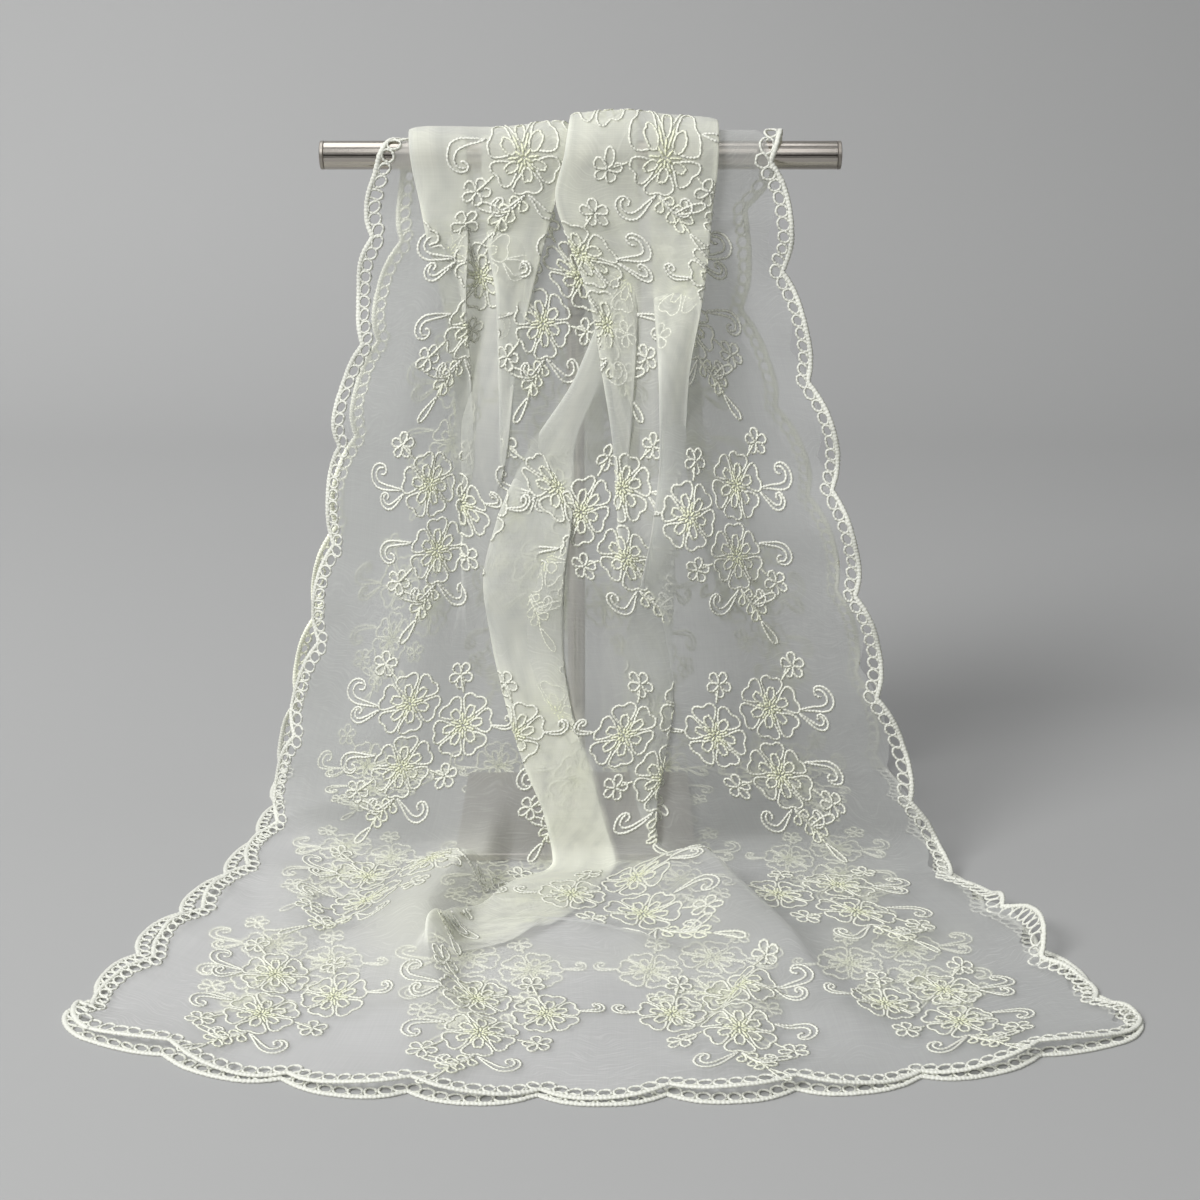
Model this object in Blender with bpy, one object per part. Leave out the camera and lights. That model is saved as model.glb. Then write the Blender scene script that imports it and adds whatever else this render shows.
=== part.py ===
"""A sheer embroidered lace scarf laid over a T-bar display stand.

The scarf is one rectangle of cloth. It is drawn as a stack of cross-sections, one for each distance
along the cloth from the top of the bar, and every section is a folded line seen from above: knife
pleats gathered on the bar, which open towards the floor. Metres, +Z up, the stand's post at X = Y = 0,
the front hem towards -Y.
"""

import math

import bmesh
import bpy
import numpy as np
from mathutils import Vector

MM = 0.001

# ---- stand
BAR_DIAMETER = 0.019
BAR_LENGTH = 0.350
BAR_HEIGHT = 0.482  # of the bar's axis above the floor
BAR_OFFSET = 0.004  # the bar's middle stands this far to the right of the post
CAP_LENGTH = 0.003
POST_DIAMETER = 0.0125
UPPER_POST_DIAMETER = 0.0105
POST_JOINT_HEIGHT = 0.375  # where the upper tube slides into the lower one
COLLAR_DIAMETER = 0.0138
COLLAR_HEIGHT = 0.005
SADDLE_HEIGHT = 0.004  # a short socket under the bar
PLATE_SIZE = (0.170, 0.156, 0.005)
PLATE_CORNER = 0.004
PLATE_RIM = 0.0006
PIECE_GAP = 0.0003

# ---- scarf
SCARF_WIDTH = 0.648  # nine scallops of 72 mm
FRONT_LENGTH = 0.820  # from the top of the bar to the front hem
BACK_LENGTH = 1.000  # from the top of the bar to the hem of the under layer
CLOTH = 0.001  # wall of the cloth
PLEAT_GAP = 0.004  # between the middle of one layer of a pleat and the next
TURN_LEAD = 0.006  # how far before a pleat's turn the cloth starts to bend
EDGING_WIDTH = 0.022
SEAM_STEP = 0.005  # from an edging's seam to the panel's next line of points, at the least
HEM_PITCH = SCARF_WIDTH / 9  # one scallop of a hem
SIDE_PITCH = 0.0728  # one scallop of a side, 25 to the whole length
LEFT_NOTCH = 0.022  # from the front hem to the left side's first notch
SCALLOP_DEPTH = 0.010
SCALLOP_FULLNESS = 2.6  # the higher, the fuller the scallops and the narrower their notches
CORNER_FULLNESS = 3.2  # the same for the lobes that run round the corners
SCALLOP_PARTS = (0, 0.2, 0.5, 0.8)  # how far along a scallop its outline gets points
STATION_STEP = 0.005  # between those points and the ones already there, at the least
PLEAT_OPEN = -0.010  # a pleat whose two turns stand this far apart lies open
PLEAT_CLOSED = 0.004  # and one whose first turn stands this far past the second is closed
UNDER_LEVEL = CLOTH / 2 / MM  # mm above the floor, middle of the layer that lies on it
UPPER_LEVEL = UNDER_LEVEL + (CLOTH + PIECE_GAP) / MM  # and middle of the layer on that one
BAR_CLEARANCE = 0.0006  # under the cloth's facets, between their corners and the bar
BAR_WRAP = BAR_DIAMETER / 2 + BAR_CLEARANCE + CLOTH / 2  # radius of the cloth's middle round the bar
BAR_QUARTER = BAR_WRAP * math.pi / 2
OVER_BAR = BAR_QUARTER + 0.004  # how far the piece over the bar reaches down each side
FLOOR_SEAM = 0.497  # from the bar's top, where a fall's piece ends and a spread's begins
FLOOR_TOUCH = 520  # mm from the bar's top, where the cloth touches down
LIE_FROM, LIE_AT = 450, 575  # mm, between which the pleats turn from standing out to lying down
SAMPLES = 2  # points of a section to each span between its control points

# The lines that run down the cloth, left to right along the cloth itself: the edges, and for each of
# five pleats the turn behind it ("back") and the crease that shows ("crease").
LINES = (
    "left_edge", "left_back_1", "left_crease_1", "left_crease_2", "left_back_2",
    "mid_back", "mid_crease",
    "right_back_1", "right_crease_1", "right_crease_2", "right_back_2", "right_edge",
)
# For each pleat: its first turn, its second turn, +1 if it folds forwards or -1 if it folds back, and
# its share of the pleat gap.
PLEATS = (
    ("left_back_1", "left_crease_1", 1, 1),
    ("left_crease_2", "left_back_2", -1, 1),
    ("mid_back", "mid_crease", 1, 0.75),
    ("right_back_1", "right_crease_1", 1, 1),
    ("right_crease_2", "right_back_2", -1, 1),
)

# Front half, in mm: the distance from the top of the bar, then X of each line in the order of LINES.
# Where a pleat's first turn stands past its second one the cloth is folded, otherwise it lies open.
FRONT_LINES = (
    (0, -132, -72, -111, -2, -62, -2, -12, 42, -3, 96, 49, 141),
    (26, -135, -72, -108, -6, -62, -2, -12, 42, -10, 95, 49, 143),
    (40, -140, -72, -105, -11, -61, 3, -9, 42, -13, 93, 50, 144),
    (72, -148, -71, -99, -20, -59, 16, 4, 43, -4, 90, 51, 148),
    (111, -149, -73, -90, -30, -53, 31, 17, 43, 10, 85, 53, 153),
    (158, -158, -71, -84, -40, -52, 20, 2, 41, 18, 77, 56, 165),
    (212, -173, -70, -81, -46, -51, 0, -32, 37, 26, 74, 57, 180),
    (260, -176, -74, -80, -57, -49, -2, -54, 33, 29, 68, 52, 188),
    (301, -183, -77, -79, -61, -47, -7, -63, 25, 32, 68, 45, 199),
    (343, -191, -84, -77, -62, -46, -8, -58, 20, 34, 67, 36, 209),
    (384, -200, -90, -76, -60, -44, -3, -49, 20, 36, 68, 32, 219),
    (427, -214, -98, -80, -58, -42, 9, -37, 22, 38, 62, 36, 232),
    (470, -222, -106, -88, -62, -40, 20, -21, 30, 42, 56, 46, 248),
    (505, -229, -115, -95, -72, -46, 28, -16, 38, 50, 62, 76, 260),
    (540, -235, -125, -105, -86, -68, 16, -44, 44, 60, 76, 96, 269),
    (580, -240, -135, -115, -100, -84, -1, -62, 48, 68, 88, 110, 284),
    (620, -248, -145, -128, -114, -100, -34, -80, 50, 75, 98, 124, 297),
    (660, -260, -160, -142, -130, -116, -90, -92, 40, 78, 108, 136, 301),
    (740, -280, -180, -160, -145, -130, -108, -72, 40, 84, 120, 152, 326),
    (820, -306, -204, -182, -162, -140, -112, -70, 40, 88, 130, 170, 344),
)

# Back half, the same way. It hangs behind the post, then runs forward on the floor under the plate.
BACK_LINES = (
    (0, -132, -72, -111, -2, -62, -2, -12, 42, -3, 96, 49, 141),
    (26, -119, -70, -103, -14, -60, -4, -14, 42, -3, 95, 50, 138),
    (72, -128, -68, -96, -22, -56, 12, 4, 44, 4, 90, 54, 122),
    (111, -139, -66, -90, -28, -54, 20, 6, 46, 16, 87, 58, 123),
    (158, -151, -68, -87, -34, -52, 22, -3, 46, 24, 88, 64, 136),
    (212, -166, -72, -87, -42, -50, 20, -10, 46, 30, 92, 72, 158),
    (260, -178, -76, -87, -52, -46, 15, -15, 45, 34, 98, 82, 176),
    (301, -189, -80, -88, -58, -44, 9, -16, 42, 38, 104, 92, 190),
    (343, -200, -90, -86, -60, -42, 3, -14, 38, 46, 110, 104, 202),
    (384, -210, -104, -88, -62, -42, -3, -9, 36, 54, 112, 124, 213),
    (427, -221, -114, -92, -64, -42, -16, 2, 36, 60, 108, 132, 224),
    (470, -232, -122, -98, -70, -46, -22, 4, 38, 66, 104, 136, 236),
    (505, -238, -130, -104, -76, -50, -24, 6, 40, 72, 106, 142, 244),
    (540, -236, -135, -108, -79, -52, -25, 6, 41, 74, 109, 146, 250),
    (600, -235, -143, -116, -85, -57, -28, 5, 41, 76, 113, 152, 254),
    (640, -236, -149, -120, -89, -60, -29, 5, 42, 78, 117, 157, 257),
    (700, -245, -157, -128, -94, -64, -32, 4, 43, 81, 121, 163, 264),
    (760, -259, -165, -135, -100, -68, -34, 4, 44, 84, 126, 170, 276),
    (840, -280, -173, -142, -106, -72, -37, 3, 45, 87, 130, 176, 302),
    (920, -294, -182, -149, -112, -76, -39, 3, 45, 89, 134, 182, 324),
    (1000, -308, -190, -156, -118, -80, -42, 2, 46, 92, 138, 188, 345),
)

# How the cloth hangs and lies, in mm: distance from the top of the bar, height, and Y at the left
# edge, in the middle and at the right edge.
FRONT_FALL = (
    (16, 482, -10, -10, -10),
    (111, 388, -10, -20, -22),
    (212, 288, -8, -38, -41),
    (301, 201, -5, -54, -58),
    (384, 119, -3, -69, -73),
    (427, 77, -2, -76, -80),
    (470, 35, -1, -83, -87),
    (490, 16, -2, -86, -91),
    (505, 6, -8, -93, -98),
    (520, UPPER_LEVEL, -21, -105, -110),
    (580, UPPER_LEVEL, -80, -164, -158),
    (660, UPPER_LEVEL, -157, -243, -226),
    (740, UPPER_LEVEL, -234, -322, -275),
    (820, UPPER_LEVEL, -311, -400, -316),
)
BACK_FALL = (
    (16, 482, 10, 10, 10),
    (111, 388, 22, 26, 22),
    (212, 289, 38, 42, 38),
    (301, 202, 54, 58, 54),
    (384, 120, 70, 73, 70),
    (427, 78, 79, 83, 79),
    (470, 35, 88, 92, 88),
    (490, 16, 93, 97, 93),
    (505, 3, 93, 97, 93),
    (520, UNDER_LEVEL, 81, 85, 81),
    (760, UNDER_LEVEL, -122, -159, -136),
    (1000, UNDER_LEVEL, -315, -404, -322),
)

# Rows of each panel, in mm from the bar's top, between its seams.
OVER_BAR_ROWS = 5
FALL_ROWS = (45, 75, 115, 160, 205, 250, 300, 345, 390, 435, 468, 488)
FRONT_SPREAD_ROWS = (508, 520, 545, 575, 612, 650, 690, 735)
UNDER_SPREAD_ROWS = (508, 520, 600, 680, 760, 840, 920)

EDGE_SWEEP = 2.5  # how late, going outwards, the middle's Y turns into the edge's

# Loose cloth between the pleats stands in soft upright waves: their place across the cloth (0 at the
# left edge, 1 at the right), their half-width there and their strength.
WAVES = (
    (0.10, 0.055, 1.0), (0.22, 0.045, -0.8), (0.34, 0.04, 0.5),
    (0.66, 0.04, -0.5), (0.78, 0.05, 0.9), (0.90, 0.05, -1.0),
)
# Distance from the bar and the most that a wave may stand out there, in mm, front and back.
FRONT_WAVE = (
    (0, 0), (25, 0), (60, 4), (130, 15), (240, 17),
    (330, 13), (430, 9), (500, 2), (530, 0), (820, 0),
)
BACK_WAVE = (
    (0, 0), (25, 0), (50, 3), (90, 9), (160, 17),
    (300, 20), (430, 17), (490, 4), (515, 0), (1000, 0),
)
WAVE_TRIES = 9

# Over the bar the front layer of the pleats puffs up, in mm: X of the puff's middle, its half-width,
# and how much higher it stands. The puff is gone this far down each side.
PUFFS = ((-14, 20, 3), (34, 30, 5))
PUFF_REACH = 46

# Soft ridges of the front spread, in mm: points of each crest (X, Y, height), and how wide the ridge
# is on its left and on its right. Y runs on up the cloth where the crest climbs the fall.
RIDGES = (
    {"crest": ((-58, -30, 0), (-66, -85, 24), (-74, -130, 34), (-93, -205, 30), (-92, -255, 20),
               (-78, -300, 9), (-40, -350, 0)), "left": 78, "right": 22},
    {"crest": ((62, -40, 0), (72, -92, 26), (84, -130, 32), (102, -175, 28), (128, -232, 23),
               (155, -285, 12), (188, -345, 0)), "left": 58, "right": 26},
    {"crest": ((122, -228, 16), (103, -300, 12), (80, -332, 6), (56, -356, 0)), "left": 16, "right": 44},
    {"crest": ((-36, -190, 3), (4, -200, 9), (42, -220, 8), (82, -248, 2)), "left": 26, "right": 10},
    {"crest": ((250, -112, 0), (276, -150, 2), (300, -190, 17), (306, -222, 15), (314, -262, 0)),
     "left": 20, "right": 26},
    {"crest": ((-214, -70, 0), (-190, -120, 7), (-176, -190, 6), (-190, -250, 0)),
     "left": 34, "right": 24},
)


def smooth_rows(table, distance, level_start=False):
    """Each column of a table of rows, read at the given distances with no overshoot between rows. With
    level_start the columns set out level, so that the two halves meet smoothly over the bar."""
    rows = np.array(table, float)
    x, y = rows[:, 0], rows[:, 1:]
    step = np.diff(x)[:, None]
    slope = np.diff(y, axis=0) / step
    tangent = np.zeros_like(y)
    tangent[0], tangent[-1] = slope[0] * (not level_start), slope[-1]
    before, after = slope[:-1], slope[1:]
    same = before * after > 0
    w1, w2 = 2 * step[1:] + step[:-1], step[1:] + 2 * step[:-1]
    blend = (w1 + w2) / (w1 / np.where(same, before, 1) + w2 / np.where(same, after, 1))
    tangent[1:-1] = np.where(same, blend, 0)
    at = np.clip(np.asarray(distance, float), x[0], x[-1])
    i = np.clip(np.searchsorted(x, at, side="right") - 1, 0, len(x) - 2)
    h = step[i]
    t = ((at - x[i]) / h[:, 0])[:, None]
    return (
        y[i] * (1 + 2 * t) * (1 - t) ** 2
        + tangent[i] * h * t * (1 - t) ** 2
        + y[i + 1] * t * t * (3 - 2 * t)
        + tangent[i + 1] * h * t * t * (t - 1)
    )


def ease(value, low, high):
    """0 below low, 1 above high, and smooth between."""
    t = np.clip((value - low) / (high - low), 0, 1)
    return t * t * (3 - 2 * t)


def pleat_points(lines):
    """Control points of the folded section: X, and how far outwards, for each row of line places."""
    place = {name: lines[:, i] for i, name in enumerate(LINES)}
    out = np.zeros(len(lines))
    points = [(place["left_edge"], out)]
    last = place["left_edge"]
    for first, second, way, share in PLEATS:
        a, b = place[first], place[second]
        folded = a - b  # more than 0 where the pleat is closed
        closed = ease(folded, PLEAT_OPEN, PLEAT_CLOSED)
        gap = way * PLEAT_GAP * share * closed
        lead = TURN_LEAD * (0.4 + 0.6 * ease(folded, 0.0, 0.02)) * closed
        lead = lead + np.abs(folded) / 4 * (1 - closed)
        points.append(((last + a - lead) / 2, out))
        points.append((a - lead, out))
        points.append((a, out + gap / 2))
        points.append(((a + b) / 2, out + gap))
        points.append((b, out + 1.5 * gap))
        points.append((b + lead, out + 2 * gap))
        out = out + 2 * gap
        last = b + lead
    points.append(((last + place["right_edge"]) / 2, out))
    points.append((place["right_edge"], out))
    return np.stack([np.stack(p, -1) for p in points], 1)


def section_curve(control, samples):
    """A smooth curve through each row's control points, with the given samples to each span."""
    before = 2 * control[:, :1] - control[:, 1:2]
    after = 2 * control[:, -1:] - control[:, -2:-1]
    ends = np.concatenate([before, control, after], 1)
    chord = np.sqrt(np.linalg.norm(np.diff(ends, axis=1), axis=2) + 1e-9)[..., None]
    p0, p1, p2, p3 = ends[:, :-3], ends[:, 1:-2], ends[:, 2:-1], ends[:, 3:]
    d0, d1, d2 = chord[:, :-2], chord[:, 1:-1], chord[:, 2:]
    m1 = d1 * ((p1 - p0) / d0 - (p2 - p0) / (d0 + d1) + (p2 - p1) / d1)
    m2 = d1 * ((p2 - p1) / d1 - (p3 - p1) / (d1 + d2) + (p3 - p2) / d2)
    t = (np.arange(samples) / samples)[None, None, :, None]
    p1, p2, m1, m2 = (a[:, :, None] for a in (p1, p2, m1, m2))
    curve = (
        p1 * (1 + 2 * t) * (1 - t) ** 2
        + m1 * t * (1 - t) ** 2
        + p2 * t * t * (3 - 2 * t)
        + m2 * t * t * (t - 1)
    )
    curve = curve.reshape(len(control), -1, 2)
    return np.concatenate([curve, control[:, -1:]], 1)


def lengths_along(curve):
    steps = np.linalg.norm(np.diff(curve, axis=1), axis=2)
    return np.concatenate([np.zeros((len(curve), 1)), np.cumsum(steps, 1)], 1)


def add_waves(curve, most):
    """Stands the loose cloth out in waves until the section is as long as the cloth is wide."""
    part = lengths_along(curve)
    part /= part[:, -1:]
    shape = sum(s * np.exp(-(((part - c) / w) ** 2)) for c, w, s in WAVES)
    tries = np.linspace(0, 1, WAVE_TRIES)
    sizes = []
    for share in tries:
        trial = curve.copy()
        trial[..., 1] += shape * (most * share)[:, None]
        sizes.append(lengths_along(trial)[:, -1])
    sizes = np.maximum.accumulate(np.array(sizes), 0) + tries[:, None] * 1e-9
    wanted = np.array([np.interp(SCARF_WIDTH, column, tries) for column in sizes.T])
    curve = curve.copy()
    curve[..., 1] += shape * (most * wanted)[:, None]
    return curve


def ridge_height(x, y):
    """Height of the soft ridges of the front spread at (X, Y), the highest one where they meet."""
    height = np.zeros_like(x)
    for ridge in RIDGES:
        crest = np.array(ridge["crest"], float) * MM
        best = np.full(x.shape, 1e9)
        here = np.zeros_like(x)
        for a, b in zip(crest[:-1], crest[1:]):
            run = b[:2] - a[:2]
            t = np.clip(((x - a[0]) * run[0] + (y - a[1]) * run[1]) / (run @ run), 0, 1)
            dx, dy = x - a[0] - t * run[0], y - a[1] - t * run[1]
            away = np.hypot(dx, dy)
            side = dx * run[1] - dy * run[0]  # more than 0 to the left of a crest that runs forwards
            wide = np.where(side > 0, ridge["left"], ridge["right"]) * MM
            rise = a[2] + (b[2] - a[2]) * t
            value = rise * np.cos(np.clip(away / wide, 0, 1) * math.pi / 2) ** 2
            near = away < best
            here = np.where(near, value, here)
            best = np.minimum(best, away)
        height = np.maximum(height, here)
    return height


def puff_height(x, out, far):
    """How much further out the front layers stand near the top of the bar."""
    rise = sum(h * np.exp(-(((x / MM - c) / w) ** 2)) for c, w, h in PUFFS) * MM
    layer = np.clip(out / (2 * PLEAT_GAP), 0, 1) ** 2
    return rise * layer * (1 - ease(far, 0, PUFF_REACH))[:, None]


def drape(front, distance):
    """Rows of points of the cloth's middle surface, each with its normal (six numbers): one row for each
    distance along it from the bar's top, and the samples of the pleated section across it. Also gives
    the length of each row up to each sample."""
    distance = np.asarray(distance, float)
    far = distance / MM
    lines = smooth_rows(FRONT_LINES if front else BACK_LINES, far, level_start=True) * MM
    curve = section_curve(pleat_points(lines), SAMPLES)
    most = smooth_rows(FRONT_WAVE if front else BACK_WAVE, far)[:, 0] * MM
    curve = add_waves(curve, most)
    across = lengths_along(curve)
    x, out = curve[..., 0], curve[..., 1]
    out = out + puff_height(x, out, far)

    fall = smooth_rows(FRONT_FALL if front else BACK_FALL, far) * MM
    turn = np.clip(distance / BAR_WRAP, 0, math.pi / 2)
    way = -1 if front else 1
    on_bar = distance < BAR_QUARTER
    z = np.where(on_bar, BAR_HEIGHT + BAR_WRAP * np.cos(turn), fall[:, 0])
    edges = np.where(x < 0, lines[:, :1], lines[:, -1:])
    sweep = np.clip(np.abs(x / edges), 0, 1) ** EDGE_SWEEP
    edge_y = np.where(x < 0, fall[:, 1:2], fall[:, 3:4])
    y = fall[:, 2:3] + (edge_y - fall[:, 2:3]) * sweep
    y = np.where(on_bar[:, None], way * BAR_WRAP * np.sin(turn)[:, None], y)
    z = np.broadcast_to(z[:, None], x.shape)

    # Outwards is up over the bar, away from the post on the falls, and up again on the floor.
    tilt = np.where(on_bar, math.pi / 2 - turn, 0)
    if front:
        tilt = tilt + ease(far, LIE_FROM, LIE_AT) * math.pi / 2
    normal_y, normal_z = way * np.cos(tilt)[:, None], np.sin(tilt)[:, None]
    if front:
        touch_y = smooth_rows(FRONT_FALL, [FLOOR_TOUCH])[0, 1:] * MM
        laid = np.maximum(FLOOR_TOUCH - far, 0)[:, None] * MM
        touch = touch_y[1] + (np.where(x < 0, touch_y[0], touch_y[2]) - touch_y[1]) * sweep
        unrolled = np.where(laid > 0, touch + laid, y)
        out = out + ridge_height(x, unrolled)
    run = np.gradient(np.stack([x, out], -1), axis=1)
    run /= np.linalg.norm(run, axis=2, keepdims=True)
    place = [x, y + normal_y * out, z + normal_z * out]
    # The wall's own normal follows the path of the cloth closely, also round its bend at the floor.
    nudge = np.array([-0.5, 0.5])[:, None]
    path = smooth_rows(FRONT_FALL if front else BACK_FALL, (far + nudge).ravel())
    path = path.reshape(2, len(far), -1)
    down, ahead = path[1, :, 0] - path[0, :, 0], path[1, :, 2] - path[0, :, 2]
    down, ahead = np.where(on_bar, -np.sin(turn), down), np.where(on_bar, way * np.cos(turn), ahead)
    size = np.hypot(down, ahead)[:, None]
    wall_y, wall_z = -way * down[:, None] / size, way * ahead[:, None] / size
    facing = [-run[..., 1], run[..., 0] * wall_y, run[..., 0] * wall_z]
    return np.stack(place + facing, -1), across


def scallop(along, pitch, first_notch):
    """How far the edge stands back from its outermost line, for a place along it from a corner: bulging
    scallops with a narrow notch between each and the next. A lobe that starts at the corner runs round
    it, and stands back only towards its far end."""
    part = ((along - first_notch) / pitch) % 1.0
    depth = np.abs(2 * part - 1) ** SCALLOP_FULLNESS
    if first_notch == pitch:
        depth = np.where(along < pitch, (along / pitch) ** CORNER_FULLNESS, depth)
    return SCALLOP_DEPTH * depth


# ---- building the objects


def material(name, color, roughness, metallic=0.0):
    made = bpy.data.materials.new(name)
    made.use_nodes = True
    shader = made.node_tree.nodes["Principled BSDF"]
    shader.inputs["Base Color"].default_value = (*color, 1)
    shader.inputs["Roughness"].default_value = roughness
    shader.inputs["Metallic"].default_value = metallic
    made.diffuse_color = (*color, 1)
    return made


def add_object(name, mesh, surface):
    made = bpy.data.objects.new(name, mesh)
    bpy.context.scene.collection.objects.link(made)
    mesh.materials.append(surface)
    return made


def cloth_wall(name, rows, surface):
    """A closed wall of the cloth's thickness on a grid of points and normals of its middle surface."""
    count, width = rows.shape[:2]
    middle, normal = rows[..., :3], rows[..., 3:]
    half = normal / np.linalg.norm(normal, axis=2, keepdims=True) * CLOTH / 2
    verts = np.concatenate([(middle + half).reshape(-1, 3), (middle - half).reshape(-1, 3)])
    index = np.arange(count * width).reshape(count, width)
    under = index + count * width
    a, b, c, d = index[:-1, :-1], index[:-1, 1:], index[1:, 1:], index[1:, :-1]
    faces = [np.stack([a, b, c, d], -1).reshape(-1, 4)]
    a, b, c, d = under[:-1, :-1], under[:-1, 1:], under[1:, 1:], under[1:, :-1]
    faces.append(np.stack([d, c, b, a], -1).reshape(-1, 4))
    rim = np.concatenate([index[0, :-1], index[:-1, -1], index[-1, :0:-1], index[:0:-1, 0]])
    rim_under = rim + count * width
    faces.append(np.stack([rim_under, np.roll(rim_under, -1), np.roll(rim, -1), rim], -1))
    mesh = bpy.data.meshes.new(name)
    mesh.from_pydata(verts.tolist(), [], np.concatenate(faces).tolist())
    work = bmesh.new()
    work.from_mesh(mesh)
    bmesh.ops.triangulate(work, faces=work.faces[:], quad_method="SHORT_EDGE")
    bmesh.ops.recalc_face_normals(work, faces=work.faces[:])
    work.to_mesh(mesh)
    work.free()
    return add_object(name, mesh, surface)


def tube(name, surface, radius, start, end, bevel=0.0, sides=48):
    """A turned bar between two points, with its rims broken by a small bevel."""
    start, end = Vector(start), Vector(end)
    length = (end - start).length
    work = bmesh.new()
    bmesh.ops.create_cone(
        work, cap_ends=True, segments=sides, radius1=radius, radius2=radius, depth=length
    )
    if bevel:
        rims = [e for e in work.edges if abs(e.verts[0].co.z - e.verts[1].co.z) < length / 2]
        bmesh.ops.bevel(work, geom=rims, offset=bevel, segments=1, affect="EDGES", profile=0.5)
    mesh = bpy.data.meshes.new(name)
    work.to_mesh(mesh)
    work.free()
    mesh.shade_smooth()
    mesh.set_sharp_from_angle(angle=math.radians(40))
    made = add_object(name, mesh, surface)
    made.location = (start + end) / 2
    made.rotation_euler = (end - start).to_track_quat("Z", "Y").to_euler()


def cut_across(points, across, place):
    """The point of each row at the given length along it, counted from its left edge."""
    return np.array(
        [
            [np.interp(at, length, row[:, k]) for k in range(6)]
            for row, length, at in zip(points, across, np.broadcast_to(place, len(points)))
        ]
    )


def panel_columns(open_cloth):
    """Which samples of a section a panel keeps: the turns of each pleat, or only its own line of points
    where the cloth lies open."""
    kept = []
    for pleat in range(len(PLEATS)):
        lead, turn, back = (SAMPLES * (step + 6 * pleat) for step in (1, 3, 5))
        if open_cloth:
            kept += [lead, turn, back]
        else:
            kept += [lead, turn - 1, turn, turn + 1, back - 1, back, back + 1]
    return kept + [SAMPLES * (1 + 6 * len(PLEATS))]


def panel_rows(front, distances, open_cloth=False):
    """The rows of a panel: the section between the two edgings, at the given distances."""
    points, across = drape(front, distances)
    columns = panel_columns(open_cloth)
    inner = points[:, columns]
    left_seam, right_seam = EDGING_WIDTH, across[:, -1] - EDGING_WIDTH
    first = np.maximum(across[:, columns[0]], left_seam + SEAM_STEP)
    last = np.minimum(across[:, columns[-1]], right_seam - SEAM_STEP)
    inner[:, 0] = cut_across(points, across, first)
    inner[:, -1] = cut_across(points, across, last)
    left = cut_across(points, across, left_seam)
    right = cut_across(points, across, right_seam)
    return np.concatenate([left[:, None], inner, right[:, None]], 1)


def with_scallops(stations, pitch, first_notch):
    """Stations along an edge from a corner, with those added that its scallops need."""
    count = math.ceil(stations[-1] / pitch) + 1
    extra = [first_notch + pitch * (i + part) for i in range(-1, count) for part in SCALLOP_PARTS]
    inside = [e for e in extra if stations[0] < e < stations[-1]]
    new = [e for e in inside if min(abs(e - s) for s in stations) > STATION_STEP]
    return np.array(sorted([*stations, *new]))


def read_between(stations, points, at):
    """Points of a line of straight chords, read at other stations."""
    return np.stack([np.interp(at, stations, points[:, k]) for k in range(6)], 1)


def side_edging(name, front, left, distances, surface):
    """A strip along one side: straight where it meets the panel, scalloped outside."""
    points, across = drape(front, distances)
    seam = EDGING_WIDTH - PIECE_GAP
    ends = (np.zeros(len(points)), across[:, -1])
    inner_at, outer_at = (seam, ends[0]) if left else (ends[1] - seam, ends[1])
    inner, outer = cut_across(points, across, inner_at), cut_across(points, across, outer_at)
    length = FRONT_LENGTH if front else BACK_LENGTH
    first_notch = SIDE_PITCH
    if left:
        first_notch = LEFT_NOTCH if front else (FRONT_LENGTH + BACK_LENGTH - LEFT_NOTCH) % SIDE_PITCH
    stations = length - with_scallops(length - distances[::-1], SIDE_PITCH, first_notch)[::-1]
    depth = scallop(length - stations, SIDE_PITCH, first_notch)
    inner = read_between(distances, inner, stations)
    outer = read_between(distances, outer, stations)
    hem = inner + (outer - inner) * ((seam - depth) / seam)[:, None]
    rows = np.stack([hem, inner] if left else [inner, hem], 1)
    return cloth_wall(name, rows, surface)


def end_edging(name, front, open_cloth, surface):
    """The strip along the front hem, from corner to corner."""
    length = FRONT_LENGTH if front else BACK_LENGTH
    ends = np.array([length - EDGING_WIDTH + PIECE_GAP, length])
    points, across = drape(front, ends)
    columns = panel_columns(open_cloth)
    panel = panel_rows(front, ends, open_cloth)
    lines = np.concatenate([points[:, :1], panel, points[:, -1:]], 1)
    width = across[1, -1]
    cloth_at = np.array([0, EDGING_WIDTH, *across[1, columns], width - EDGING_WIDTH, width])
    stations = cloth_at * SCARF_WIDTH / width
    all_stations = with_scallops(stations, HEM_PITCH, HEM_PITCH)
    from_corner = np.minimum(all_stations, SCARF_WIDTH - all_stations)
    depth = scallop(from_corner, HEM_PITCH, HEM_PITCH)
    inner = read_between(stations, lines[0], all_stations)
    outer = read_between(stations, lines[1], all_stations)
    seam = EDGING_WIDTH - PIECE_GAP
    hem = inner + (outer - inner) * ((seam - depth) / seam)[:, None]
    return cloth_wall(name, np.stack([inner, hem], 0), surface)


def base_plate(surface, floor):
    """A flat plate with its four upright corners rounded and its top rim broken."""
    height = PLATE_SIZE[2]
    work = bmesh.new()
    bmesh.ops.create_cube(work, size=1.0)
    bmesh.ops.scale(work, vec=PLATE_SIZE, verts=work.verts)
    corners = [e for e in work.edges if abs(e.verts[0].co.z - e.verts[1].co.z) > height / 2]
    bmesh.ops.bevel(
        work, geom=corners, offset=PLATE_CORNER, segments=4, affect="EDGES", profile=0.5
    )
    rims = [e for e in work.edges if all(v.co.z > height / 4 for v in e.verts)]
    bmesh.ops.bevel(work, geom=rims, offset=PLATE_RIM, segments=1, affect="EDGES")
    mesh = bpy.data.meshes.new("base_plate")
    work.to_mesh(mesh)
    work.free()
    add_object("base_plate", mesh, surface).location = (0, 0, floor + height / 2)


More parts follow.
